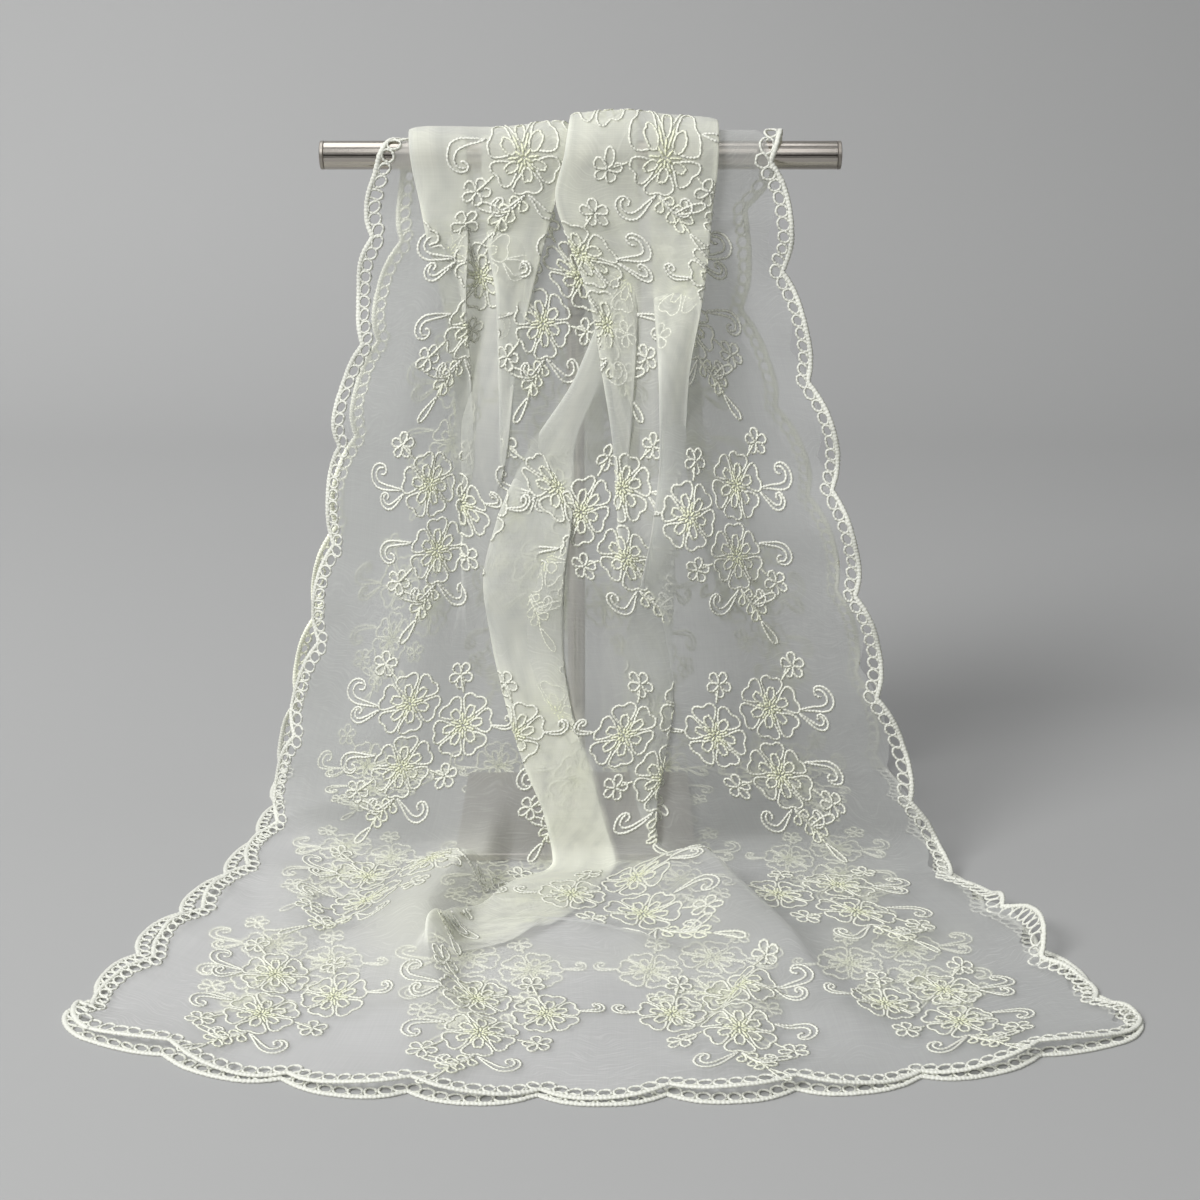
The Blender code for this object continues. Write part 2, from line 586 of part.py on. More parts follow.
def build_stand():
    steel = material("brushed_steel", (0.52, 0.50, 0.47), 0.34, 1.0)
    dark = material("dark_steel", (0.30, 0.29, 0.28), 0.42, 1.0)
    floor = CLOTH + PIECE_GAP  # the plate stands on the cloth's under layer
    base_plate(steel, floor)

    foot = floor + PLATE_SIZE[2] + PIECE_GAP
    collar_top = POST_JOINT_HEIGHT + COLLAR_HEIGHT
    socket_top = BAR_HEIGHT - BAR_DIAMETER / 2 - PIECE_GAP
    socket_foot = socket_top - SADDLE_HEIGHT
    uprights = (
        ("lower_post", steel, POST_DIAMETER, foot, POST_JOINT_HEIGHT - PIECE_GAP, 0.0004),
        ("post_collar", dark, COLLAR_DIAMETER, POST_JOINT_HEIGHT, collar_top, 0.0006),
        ("upper_post", steel, UPPER_POST_DIAMETER, collar_top + PIECE_GAP, socket_foot - PIECE_GAP, 0),
        ("bar_socket", dark, POST_DIAMETER, socket_foot, socket_top, 0),
    )
    for name, surface, diameter, low, high, bevel in uprights:
        tube(name, surface, diameter / 2, (0, 0, low), (0, 0, high), bevel)

    end = BAR_LENGTH / 2
    inner = end - CAP_LENGTH
    along_bar = (
        ("crossbar", steel, -inner, inner, 0),
        ("bar_cap_left", dark, -end, -inner - PIECE_GAP, 0.0005),
        ("bar_cap_right", dark, inner + PIECE_GAP, end, 0.0005),
    )
    for name, surface, left, right, bevel in along_bar:
        start = (BAR_OFFSET + left, 0, BAR_HEIGHT)
        stop = (BAR_OFFSET + right, 0, BAR_HEIGHT)
        tube(name, surface, BAR_DIAMETER / 2, start, stop, bevel)


def rows_between(start, end, table):
    """The places of a table, in mm, that lie between two places in metres, with the two themselves."""
    inside = [row * MM for row in table if start + 0.002 < row * MM < end - 0.002]
    return np.array([start, *inside, end])


def build_scarf():
    cloth = material("ivory_organza", (0.86, 0.87, 0.80), 0.75)
    cord = material("ivory_cord", (0.93, 0.93, 0.83), 0.7)
    over = np.linspace(0, OVER_BAR, OVER_BAR_ROWS)
    below_bar = OVER_BAR + PIECE_GAP
    laid_from = FLOOR_SEAM + PIECE_GAP

    back_half = panel_rows(False, over[:0:-1])
    front_half = panel_rows(True, over)
    cloth_wall("scarf_over_bar", np.concatenate([back_half, front_half]), cloth)
    halves = (
        (True, "front", "scarf_front_spread", FRONT_SPREAD_ROWS, FRONT_LENGTH),
        (False, "back", "scarf_under_spread", UNDER_SPREAD_ROWS, BACK_LENGTH),
    )
    for front, word, spread, spread_rows, length in halves:
        seam = length - EDGING_WIDTH
        fall = rows_between(below_bar, FLOOR_SEAM, FALL_ROWS)
        laid = rows_between(laid_from, seam, spread_rows)
        open_cloth = not front  # the under layer lies open on the floor, its pleats let out
        cloth_wall(f"scarf_{word}_fall", panel_rows(front, fall), cloth)
        cloth_wall(spread, panel_rows(front, laid, open_cloth), cloth)

        top = over.copy()
        top[0] = PIECE_GAP / 2  # the two halves' edgings meet over the bar
        side_rows = np.concatenate([top, fall, laid])
        side_edging(f"edging_{word}_left", front, True, side_rows, cord)
        side_edging(f"edging_{word}_right", front, False, side_rows, cord)
        end_edging(f"edging_{word}_end", front, open_cloth, cord)


for old in list(bpy.data.objects):
    bpy.data.objects.remove(old, do_unlink=True)
build_stand()
build_scarf()
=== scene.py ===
import math

import bpy
import numpy as np
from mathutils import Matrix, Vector


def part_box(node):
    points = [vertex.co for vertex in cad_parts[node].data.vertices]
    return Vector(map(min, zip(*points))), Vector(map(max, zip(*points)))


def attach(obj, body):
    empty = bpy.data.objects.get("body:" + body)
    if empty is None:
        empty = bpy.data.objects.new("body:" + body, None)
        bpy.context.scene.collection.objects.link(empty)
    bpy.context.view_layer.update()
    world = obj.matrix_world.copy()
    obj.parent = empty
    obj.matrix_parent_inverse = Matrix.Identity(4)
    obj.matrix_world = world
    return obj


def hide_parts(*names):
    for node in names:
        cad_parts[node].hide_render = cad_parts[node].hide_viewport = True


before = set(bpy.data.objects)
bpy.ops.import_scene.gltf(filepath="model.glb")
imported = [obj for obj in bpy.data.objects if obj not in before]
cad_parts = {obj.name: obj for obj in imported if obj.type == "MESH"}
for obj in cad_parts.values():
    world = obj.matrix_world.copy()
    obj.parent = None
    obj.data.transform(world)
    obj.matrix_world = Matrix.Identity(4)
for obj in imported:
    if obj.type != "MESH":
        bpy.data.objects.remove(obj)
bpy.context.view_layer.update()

mm = 0.001
scene = bpy.context.scene
barLow, barHigh = (np.array(corner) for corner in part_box("crossbar"))
print("stage 1: frame loaded")

# The scarf lies in its own flat coordinates: u runs across from the left edge, w along it, 0 on the
# top of the bar, more than 0 down the front and less than 0 down the back. Metres.
scarf = {
    "width": 0.648,
    "front": 0.820,  # from the top of the bar to the front hem
    "back": 1.000,
    "wall": 0.001,  # of the frame's solids, whose middle the cloth follows
    "seam": 0.0003,  # between two of them
    "barClearance": 0.0006,
    "pleatGap": 0.004,  # from one layer of a pleat to the next
    "turnLead": 0.006,  # how long a pleat's rounded turn is, and the share of it that a shallow one has
    "shallowLead": 0.4,
    "deepPleat": 0.020,  # the overlap from which a pleat has the whole of it
    "pleatOpen": -0.010,  # overlaps from which a pleat starts to close, and is closed
    "pleatClosed": 0.004,
    "samples": 5,  # points to each span of a section
    "rowStep": 0.004,
    "mapStep": 0.002,  # across, in the even map that cords are laid by
}
halfWall = scarf["wall"] / 2
barHeight = (barLow[2] + barHigh[2]) / 2
barWrap = (barHigh[2] - barLow[2]) / 2 + scarf["barClearance"] + halfWall
underLevel = halfWall / mm
upperLevel = (halfWall + scarf["wall"] + scarf["seam"]) / mm

# Lines that run along the cloth, left to right: the edges, and each pleat's turn behind and its crease.
lineNames = (
    "leftEdge", "leftBack1", "leftCrease1", "leftCrease2", "leftBack2", "midBack", "midCrease",
    "rightBack1", "rightCrease1", "rightCrease2", "rightBack2", "rightEdge",
)
pleats = (  # first turn, second turn, folds forwards or back, share of the gap
    ("leftBack1", "leftCrease1", 1, 1),
    ("leftCrease2", "leftBack2", -1, 1),
    ("midBack", "midCrease", 1, 0.75),
    ("rightBack1", "rightCrease1", 1, 1),
    ("rightCrease2", "rightBack2", -1, 1),
)
# mm: distance from the top of the bar, then X of each line
frontLines = (
    (0, -132, -72, -111, -2, -62, -2, -12, 42, -3, 96, 49, 141),
    (26, -135, -72, -108, -6, -62, -2, -12, 42, -10, 95, 49, 143),
    (40, -140, -72, -105, -11, -61, 3, -9, 42, -13, 93, 50, 144),
    (72, -148, -71, -99, -20, -59, 16, 4, 43, -4, 90, 51, 148),
    (111, -149, -73, -90, -30, -53, 31, 17, 43, 10, 85, 53, 153),
    (158, -158, -71, -84, -40, -52, 20, 2, 41, 18, 77, 56, 165),
    (212, -173, -70, -81, -46, -51, 0, -32, 37, 26, 74, 57, 180),
    (260, -176, -74, -80, -57, -49, -2, -54, 33, 29, 68, 52, 188),
    (301, -183, -77, -79, -61, -47, -7, -63, 25, 32, 68, 45, 199),
    (343, -191, -84, -77, -62, -46, -8, -58, 20, 34, 67, 36, 209),
    (384, -200, -90, -76, -60, -44, -3, -49, 20, 36, 68, 32, 219),
    (427, -214, -98, -80, -58, -42, 9, -37, 22, 38, 62, 36, 232),
    (470, -222, -106, -88, -62, -40, 20, -21, 30, 42, 56, 46, 248),
    (505, -229, -115, -95, -72, -46, 28, -16, 38, 50, 62, 76, 260),
    (540, -235, -125, -105, -86, -68, 16, -44, 44, 60, 76, 96, 269),
    (580, -240, -135, -115, -100, -84, -1, -62, 48, 68, 88, 110, 284),
    (620, -248, -145, -128, -114, -100, -34, -80, 50, 75, 98, 124, 297),
    (660, -260, -160, -142, -130, -116, -90, -92, 40, 78, 108, 136, 301),
    (740, -280, -180, -160, -145, -130, -108, -72, 40, 84, 120, 152, 326),
    (820, -306, -204, -182, -162, -140, -112, -70, 40, 88, 130, 170, 344),
)
backLines = (
    (0, -132, -72, -111, -2, -62, -2, -12, 42, -3, 96, 49, 141),
    (26, -119, -70, -103, -14, -60, -4, -14, 42, -3, 95, 50, 138),
    (72, -128, -68, -96, -22, -56, 12, 4, 44, 4, 90, 54, 122),
    (111, -139, -66, -90, -28, -54, 20, 6, 46, 16, 87, 58, 123),
    (158, -151, -68, -87, -34, -52, 22, -3, 46, 24, 88, 64, 136),
    (212, -166, -72, -87, -42, -50, 20, -10, 46, 30, 92, 72, 158),
    (260, -178, -76, -87, -52, -46, 15, -15, 45, 34, 98, 82, 176),
    (301, -189, -80, -88, -58, -44, 9, -16, 42, 38, 104, 92, 190),
    (343, -200, -90, -86, -60, -42, 3, -14, 38, 46, 110, 104, 202),
    (384, -210, -104, -88, -62, -42, -3, -9, 36, 54, 112, 124, 213),
    (427, -221, -114, -92, -64, -42, -16, 2, 36, 60, 108, 132, 224),
    (470, -232, -122, -98, -70, -46, -22, 4, 38, 66, 104, 136, 236),
    (505, -238, -130, -104, -76, -50, -24, 6, 40, 72, 106, 142, 244),
    (540, -236, -135, -108, -79, -52, -25, 6, 41, 74, 109, 146, 250),
    (600, -235, -143, -116, -85, -57, -28, 5, 41, 76, 113, 152, 254),
    (640, -236, -149, -120, -89, -60, -29, 5, 42, 78, 117, 157, 257),
    (700, -245, -157, -128, -94, -64, -32, 4, 43, 81, 121, 163, 264),
    (760, -259, -165, -135, -100, -68, -34, 4, 44, 84, 126, 170, 276),
    (840, -280, -173, -142, -106, -72, -37, 3, 45, 87, 130, 176, 302),
    (920, -294, -182, -149, -112, -76, -39, 3, 45, 89, 134, 182, 324),
    (1000, -308, -190, -156, -118, -80, -42, 2, 46, 92, 138, 188, 345),
)
# mm: distance from the top of the bar, height, and Y at the left edge, the middle and the right edge
frontFall = (
    (16, 482, -10, -10, -10),
    (111, 388, -10, -20, -22),
    (212, 288, -8, -38, -41),
    (301, 201, -5, -54, -58),
    (384, 119, -3, -69, -73),
    (427, 77, -2, -76, -80),
    (470, 35, -1, -83, -87),
    (490, 16, -2, -86, -91),
    (505, 6, -8, -93, -98),
    (520, upperLevel, -21, -105, -110),
    (580, upperLevel, -80, -164, -158),
    (660, upperLevel, -157, -243, -226),
    (740, upperLevel, -234, -322, -275),
    (820, upperLevel, -311, -400, -316),
)
backFall = (
    (16, 482, 10, 10, 10),
    (111, 388, 22, 26, 22),
    (212, 289, 38, 42, 38),
    (301, 202, 54, 58, 54),
    (384, 120, 70, 73, 70),
    (427, 78, 79, 83, 79),
    (470, 35, 88, 92, 88),
    (490, 16, 93, 97, 93),
    (505, 3, 93, 97, 93),
    (520, underLevel, 81, 85, 81),
    (760, underLevel, -122, -159, -136),
    (1000, underLevel, -315, -404, -322),
)
# mm from the top of the bar: where the cloth meets the floor, and where it turns from hanging to lying
floorTouch, lieFrom, lieAt = 520, 450, 575
edgeSweep = 2.5  # how late, going outwards, the middle's Y turns into the edge's

# soft upright waves of the loose cloth: place across (0 to 1), half-width, strength
waves = (
    (0.10, 0.055, 1.0), (0.22, 0.045, -0.8), (0.34, 0.04, 0.5),
    (0.66, 0.04, -0.5), (0.78, 0.05, 0.9), (0.90, 0.05, -1.0),
)
# mm: distance from the bar, the most a wave stands out there
frontWave = (
    (0, 0), (25, 0), (60, 4), (130, 15), (240, 17),
    (330, 13), (430, 9), (500, 2), (530, 0), (820, 0),
)
backWave = (
    (0, 0), (25, 0), (50, 3), (90, 9), (160, 17),
    (300, 20), (430, 17), (490, 4), (515, 0), (1000, 0),
)
puffs = ((-14, 20, 3), (34, 30, 5))  # mm: X over the bar, half-width, rise
puffReach = 46
# mm: ridges of the front spread, crest points (X, Y, height) and their widths left and right
ridges = (
    {"crest": ((-58, -30, 0), (-66, -85, 24), (-74, -130, 34), (-93, -205, 30), (-92, -255, 20),
               (-78, -300, 9), (-40, -350, 0)), "left": 78, "right": 22},
    {"crest": ((62, -40, 0), (72, -92, 26), (84, -130, 32), (102, -175, 28), (128, -232, 23),
               (155, -285, 12), (188, -345, 0)), "left": 58, "right": 26},
    {"crest": ((122, -228, 16), (103, -300, 12), (80, -332, 6), (56, -356, 0)), "left": 16, "right": 44},
    {"crest": ((-36, -190, 3), (4, -200, 9), (42, -220, 8), (82, -248, 2)), "left": 26, "right": 10},
    {"crest": ((250, -112, 0), (276, -150, 2), (300, -190, 17), (306, -222, 15), (314, -262, 0)),
     "left": 20, "right": 26},
    {"crest": ((-214, -70, 0), (-190, -120, 7), (-176, -190, 6), (-190, -250, 0)),
     "left": 34, "right": 24},
)


# Each column of a table, read at the given distances by a cubic that never overshoots its rows; its
# first row can be made level, so that two tables meet there without a kink.
def smoothRows(table, distance, levelStart=False):
    rows = np.array(table, float)
    x, y = rows[:, 0], rows[:, 1:]
    step = np.diff(x)[:, None]
    slope = np.diff(y, axis=0) / step
    tangent = np.zeros_like(y)
    tangent[0], tangent[-1] = slope[0] * (not levelStart), slope[-1]
    before, after = slope[:-1], slope[1:]
    same = before * after > 0
    w1, w2 = 2 * step[1:] + step[:-1], step[1:] + 2 * step[:-1]
    blend = (w1 + w2) / (w1 / np.where(same, before, 1) + w2 / np.where(same, after, 1))
    tangent[1:-1] = np.where(same, blend, 0)
    at = np.clip(np.asarray(distance, float), x[0], x[-1])
    i = np.clip(np.searchsorted(x, at, side="right") - 1, 0, len(x) - 2)
    h = step[i]
    t = ((at - x[i]) / h[:, 0])[:, None]
    return (y[i] * (1 + 2 * t) * (1 - t) ** 2 + tangent[i] * h * t * (1 - t) ** 2
            + y[i + 1] * t * t * (3 - 2 * t) + tangent[i + 1] * h * t * t * (t - 1))


def ease(value, low, high):  # 0 below low, 1 above high, smooth between
    t = np.clip((value - low) / (high - low), 0, 1)
    return t * t * (3 - 2 * t)


def within(value, low, full, ends, gone):  # 0, up to 1 between low and full, 0 again past gone
    return ease(value, low, full) * (1 - ease(value, ends, gone))


# Control points of a section, (X, outwards), for each row of line places, and how far each pleat is
# closed. A closed pleat steps outwards by two gaps, an open one stays level.
def pleatPoints(lines):
    place = {name: lines[:, i] for i, name in enumerate(lineNames)}
    out = np.zeros(len(lines))
    last = place["leftEdge"]
    points, closings = [(last, out)], []
    for first, second, way, share in pleats:
        a, b = place[first], place[second]
        folded = a - b
        closed = ease(folded, scarf["pleatOpen"], scarf["pleatClosed"])
        gap = way * scarf["pleatGap"] * share * closed
        least = scarf["shallowLead"]
        lead = scarf["turnLead"] * (least + (1 - least) * ease(folded, 0.0, scarf["deepPleat"])) * closed
        lead = lead + np.abs(folded) / 4 * (1 - closed)
        points += [
            ((last + a - lead) / 2, out), (a - lead, out), (a, out + gap / 2), ((a + b) / 2, out + gap),
            (b, out + 1.5 * gap), (b + lead, out + 2 * gap),
        ]
        out, last = out + 2 * gap, b + lead
        closings.append(closed)
    points += [((last + place["rightEdge"]) / 2, out), (place["rightEdge"], out)]
    return np.stack([np.stack(p, -1) for p in points], 1), np.stack(closings, 1)


# Catmull-Rom spline with centripetal knots through each row's control points.
def sectionCurve(control, samples):
    before = 2 * control[:, :1] - control[:, 1:2]
    after = 2 * control[:, -1:] - control[:, -2:-1]
    ends = np.concatenate([before, control, after], 1)
    chord = np.sqrt(np.linalg.norm(np.diff(ends, axis=1), axis=2) + 1e-9)[..., None]
    p0, p1, p2, p3 = ends[:, :-3], ends[:, 1:-2], ends[:, 2:-1], ends[:, 3:]
    d0, d1, d2 = chord[:, :-2], chord[:, 1:-1], chord[:, 2:]
    m1 = d1 * ((p1 - p0) / d0 - (p2 - p0) / (d0 + d1) + (p2 - p1) / d1)
    m2 = d1 * ((p2 - p1) / d1 - (p3 - p1) / (d1 + d2) + (p3 - p2) / d2)
    t = (np.arange(samples) / samples)[None, None, :, None]
    p1, p2, m1, m2 = (a[:, :, None] for a in (p1, p2, m1, m2))
    curve = (p1 * (1 + 2 * t) * (1 - t) ** 2 + m1 * t * (1 - t) ** 2
             + p2 * t * t * (3 - 2 * t) + m2 * t * t * (t - 1))
    return np.concatenate([curve.reshape(len(control), -1, 2), control[:, -1:]], 1)


def lengthsAlong(curve):  # running length of each row of points
    steps = np.linalg.norm(np.diff(curve, axis=1), axis=2)
    return np.concatenate([np.zeros((len(curve), 1)), np.cumsum(steps, 1)], 1)


# Bell-shaped waves added outwards, as strong as brings the section's length nearest the cloth's width.
def addWaves(curve, most):
    part = lengthsAlong(curve)
    part /= part[:, -1:]
    shape = sum(s * np.exp(-(((part - c) / w) ** 2)) for c, w, s in waves)
    tries = np.linspace(0, 1, 9)
    sizes = []
    for share in tries:
        trial = curve.copy()
        trial[..., 1] += shape * (most * share)[:, None]
        sizes.append(lengthsAlong(trial)[:, -1])
    sizes = np.maximum.accumulate(np.array(sizes), 0) + tries[:, None] * 1e-9
    wanted = np.array([np.interp(scarf["width"], column, tries) for column in sizes.T])
    curve = curve.copy()
    curve[..., 1] += shape * (most * wanted)[:, None]
    return curve


# A cosine-squared bank on each side of every crest line, the highest one where they meet.
def ridgeHeight(x, y):
    height = np.zeros_like(x)
    for ridge in ridges:
        crest = np.array(ridge["crest"], float) * mm
        best, here = np.full(x.shape, 1e9), np.zeros_like(x)
        for a, b in zip(crest[:-1], crest[1:]):
            run = b[:2] - a[:2]
            t = np.clip(((x - a[0]) * run[0] + (y - a[1]) * run[1]) / (run @ run), 0, 1)
            dx, dy = x - a[0] - t * run[0], y - a[1] - t * run[1]
            away = np.hypot(dx, dy)
            wide = np.where(dx * run[1] - dy * run[0] > 0, ridge["left"], ridge["right"]) * mm
            value = (a[2] + (b[2] - a[2]) * t) * np.cos(np.clip(away / wide, 0, 1) * math.pi / 2) ** 2
            here = np.where(away < best, value, here)
            best = np.minimum(best, away)
        height = np.maximum(height, here)
    return height


# Bell-shaped folds along straight lines of the flat cloth, which die away at both ends. Rows in mm:
# u and w of each end, half-width, height outwards.
def foldHeight(folds, u, w):
    total = np.zeros_like(u)
    for u0, w0, u1, w1, half, height in folds:
        du, dw = (u1 - u0) * mm, (w1 - w0) * mm
        t = ((u - u0 * mm) * du + (w - w0 * mm) * dw) / (du * du + dw * dw)
        away = np.hypot(u - u0 * mm - t * du, w - w0 * mm - t * dw)
        fade = np.sqrt(np.clip(4 * t * (1 - t), 0, 1))
        total += height * mm * fade * np.exp(-((away / (half * mm)) ** 2))
    return total


creases = {
    # mm: u and w of one end, of the other, half-width and height
    "folds": (
        (128, -60, 132, 250, 4, 1.0), (142, -70, 137, 330, 5, -0.9), (168, -60, 150, 210, 4, 1.0),
        (118, 40, 126, 300, 3, 0.8), (372, -60, 352, 300, 5, 1.0), (398, -50, 360, 350, 4, -0.8),
        (424, -60, 372, 240, 5, 1.1), (448, -60, 384, 190, 4, -0.8), (258, 120, 262, 480, 5, 1.0),
        (242, 150, 246, 420, 4, -0.8), (276, 200, 282, 560, 5, 0.9), (268, 380, 282, 640, 4, -0.8),
        (40, 20, 92, 320, 16, 2.6), (84, 60, 46, 440, 14, -2.2), (470, 40, 520, 330, 18, 3.0),
        (530, 30, 470, 420, 15, -2.4), (575, 120, 600, 480, 14, 2.2), (206, 60, 196, 380, 9, 1.4),
        (470, 330, 560, 500, 12, 1.8), (60, 330, 20, 500, 13, 1.8),
        (30, 560, 90, 700, 12, 1.6), (112, 600, 84, 780, 9, 1.3), (520, 560, 596, 720, 12, 1.8),
        (556, 640, 470, 770, 10, 1.5), (330, 600, 300, 790, 10, 1.2), (200, 640, 256, 770, 9, 1.2),
        (90, -60, 70, -330, 12, 2.0), (40, -120, 60, -430, 13, -2.2), (470, -60, 500, -380, 16, 2.6),
        (540, -90, 520, -450, 13, -2.0), (210, -100, 232, -400, 9, 1.4), (300, -120, 290, -460, 9, -1.6),
        (150, -90, 160, -360, 5, 1.0), (360, -60, 352, -330, 5, -1.0), (410, -70, 396, -400, 6, 1.1),
    ),
    "edgeFlute": 4.0,  # mm, how far the free side edges wave in and out
    "flutePitch": 0.061,
    "fluteWidth": 0.026,
    "hemRise": 7.0,  # mm, how far the front hem lifts off the under layer here and there
    "hemPitch": 0.158,
    "hemReach": 0.034,  # how far in from the hem it lifts
    "pressWidth": 0.0024,  # of the line pressed into each turn
    # mm from the top of the bar: starts to hang free, is quite free, starts to lie down, hangs no more
    "hangs": (22, 70, 455, 505),
    "laid": (520, 560),  # starts to lie, and lies
    "laidFolds": 0.9,  # how strong folds and waves still are on the floor
    "laidFlutes": 0.7,
}
# How gathered the cloth looks, from 0 to 1: the more, the thicker the cloth and the lighter it is painted, as
# painted light for the light caught between its layers.
strands = {
    # at the top of the bar, what it gains further down, and between which distances, in mm
    "outer": (0.8, -0.45, 110, 230),
    "middle": (0.5, 0.5, 330, 400),
    "lyingDown": (-0.3, 500, 560),  # what the middle one gains again as it lies down
    "outerTurns": ((3, 11), (21, 29)),  # the control points at which each outer strand starts and ends
    "turnSoft": (1.2, 0.3),  # how far outside and inside them it fades
    "middleTurns": (12, 14, 19.5, 21),  # the same for the middle one, which fades between them
    "middleSoft": 0.003,  # how far past its fold it fades, in metres
    "bands": 0.22,  # how much it varies across a strand
    "ridge": 0.9,  # painted highlight on the crests on the left of the spread: how strong, how high they rise, and the X where they end
    "ridgeHeights": (0.004, 0.028),
    "ridgeEnds": (-0.05, 0.02),
}
# Painted light: where the cloth lies on the floor it is painted lighter, for the light from above: mm
# from the top of the bar, and, as that painted light lessens to the right, by which share and between which
# X.
lying = {"from": 480, "at": 530, "rightShare": 0.6, "rightFrom": -0.08, "rightAt": 0.24}


# The wave of the free edges: two sines of unlike length, which fade inwards from each side.
def fluteHeight(u, w):
    phase = 2 * math.pi * w / creases["flutePitch"]
    left = np.sin(phase) * 0.7 + np.sin(phase * 0.37 + 1.9) * 0.6
    right = np.sin(phase * 0.93 + 2.2) * 0.7 + np.sin(phase * 0.41 + 0.4) * 0.6
    near = np.exp(-((u / creases["fluteWidth"]) ** 2))
    far = np.exp(-(((scarf["width"] - u) / creases["fluteWidth"]) ** 2))
    return (left * near + right * far) * creases["edgeFlute"] * mm


# One half of the cloth: sections folded by the tables, stood out along a direction that turns from up
# on the bar to level on the fall and up again on the spread. Gives the points, their u and w, and how
# gathered, how pressed and how far down on the floor the cloth is there; the first and the last also paint
# light on it.
def drapeHalf(front, distance):
    far = distance / mm
    lines = smoothRows(frontLines if front else backLines, far, levelStart=True) * mm
    control, closings = pleatPoints(lines)
    curve = sectionCurve(control, scarf["samples"])
    most = smoothRows(frontWave if front else backWave, far)[:, 0] * mm
    curve = addWaves(curve, most)
    across = lengthsAlong(curve)
    u = across / across[:, -1:] * scarf["width"]
    w = np.broadcast_to(distance[:, None] * (1 if front else -1), u.shape)
    x, out = curve[..., 0], curve[..., 1]
    rise = sum(h * np.exp(-(((x / mm - c) / s) ** 2)) for c, s, h in puffs) * mm
    layer = np.clip(out / (2 * scarf["pleatGap"]), 0, 1) ** 2
    out = out + rise * layer * (1 - ease(far, 0, puffReach))[:, None]

    hanging = within(far, *creases["hangs"])
    laid = ease(far, *creases["laid"])
    out = out + foldHeight(creases["folds"], u, w) * (hanging + laid * creases["laidFolds"] * front)[:, None]
    flute = fluteHeight(u, w)
    laidFlute = np.maximum(flute, 0) * creases["laidFlutes"] * (laid * front)[:, None]
    out = out + flute * hanging[:, None] + laidFlute
    if front:  # the hem lifts off the under layer here and there: a raised cosine along it
        lift = 0.5 - 0.5 * np.cos(2 * math.pi * (u + 0.03 * np.sin(9 * u)) / creases["hemPitch"])
        near = np.exp(-(((scarf["front"] - w) / creases["hemReach"]) ** 2))
        out = out + creases["hemRise"] * mm * lift * near

    fall = smoothRows(frontFall if front else backFall, far) * mm
    turn = np.clip(distance / barWrap, 0, math.pi / 2)
    way = -1 if front else 1
    onBar = distance < barWrap * math.pi / 2
    z = np.where(onBar, barHeight + barWrap * np.cos(turn), fall[:, 0])
    edges = np.where(x < 0, lines[:, :1], lines[:, -1:])
    sweep = np.clip(np.abs(x / edges), 0, 1) ** edgeSweep
    edgeY = np.where(x < 0, fall[:, 1:2], fall[:, 3:4])
    y = fall[:, 2:3] + (edgeY - fall[:, 2:3]) * sweep
    y = np.where(onBar[:, None], way * barWrap * np.sin(turn)[:, None], y)
    z = np.broadcast_to(z[:, None], x.shape)
    tilt = np.where(onBar, math.pi / 2 - turn, 0)
    if front:
        tilt = tilt + ease(far, lieFrom, lieAt) * math.pi / 2
        touchY = smoothRows(frontFall, [floorTouch])[0, 1:] * mm
        unlaid = np.maximum(floorTouch - far, 0)[:, None] * mm
        touch = touchY[1] + (np.where(x < 0, touchY[0], touchY[2]) - touchY[1]) * sweep
        banked = ridgeHeight(x, np.where(unlaid > 0, touch + unlaid, y))
        out = out + banked
    out = np.where((far > floorTouch)[:, None], np.maximum(out, 0), out)
    points = np.stack([x, y + way * np.cos(tilt)[:, None] * out, z + np.sin(tilt)[:, None] * out], -1)

    # pressed: 1 on the turn of a closed pleat, falling off within a few mm
    pressed = np.zeros_like(u)
    for pleat in range(len(pleats)):
        for turnAt in (3 + 6 * pleat, 5 + 6 * pleat):  # the control points of its two turns
            away = u - u[:, scarf["samples"] * turnAt][:, None]
            line = np.exp(-((away / creases["pressWidth"]) ** 2)) * closings[:, pleat][:, None]
            pressed = np.maximum(pressed, line)

    # painted floor light: 1 where the cloth is down on the floor, less so to the right
    floorLightMask = ease(far, lying["from"], lying["at"])[:, None]
    floorLightMask = floorLightMask * (1 - lying["rightShare"] * ease(x, lying["rightFrom"], lying["rightAt"]))

    # gathered, which thickens the cloth and is painted lighter: an outer strand between its two turns,
    # loosening on the way down, and the middle one wherever it is folded, as far as their pleats are closed;
    # and the crests of the left ridges, as a painted highlight
    span = np.arange(u.shape[1]) / scarf["samples"]
    start, gain, high, low = strands["outer"]
    loosen = start + gain * ease(far, high, low)
    outside, inside = strands["turnSoft"]
    gather = np.zeros_like(u)
    for (first, last), pair in zip(strands["outerTurns"], (closings[:, :2], closings[:, 3:])):
        shut = (pair[:, 0] + pair[:, 1]) / 2 * loosen
        gather = gather + shut[:, None] * within(span, first - outside, first + inside,
                                                 last - inside, last + outside)
    foldedTo, foldedFrom, soft = lines[:, 6:7], lines[:, 5:6], strands["middleSoft"]
    folded = within(x, foldedTo - soft, foldedTo, foldedFrom, foldedFrom + soft)
    folded = folded * within(span, *strands["middleTurns"]) * closings[:, 2:3]
    start, gain, high, low = strands["middle"]
    again, layFrom, layAt = strands["lyingDown"]
    thicken = start + gain * ease(far, high, low) + again * ease(far, layFrom, layAt)
    gather = gather + folded * thicken[:, None]
    drift = 3.0 * np.sin(11 * w) + 1.7 * np.sin(23 * w + 1)  # how the bands of a strand wander
    band = np.sin(290 * u + drift) + 0.7 * np.sin(610 * u - 1.6 * drift) + 0.5 * np.sin(1270 * u + drift)
    gather = gather * (1 + strands["bands"] * band)
    if front:
        crest = strands["ridge"] * ease(banked, *strands["ridgeHeights"])
        gather = np.maximum(gather, crest * (1 - ease(x, *strands["ridgeEnds"])))
    return points, u, w, gather, pressed, floorLightMask


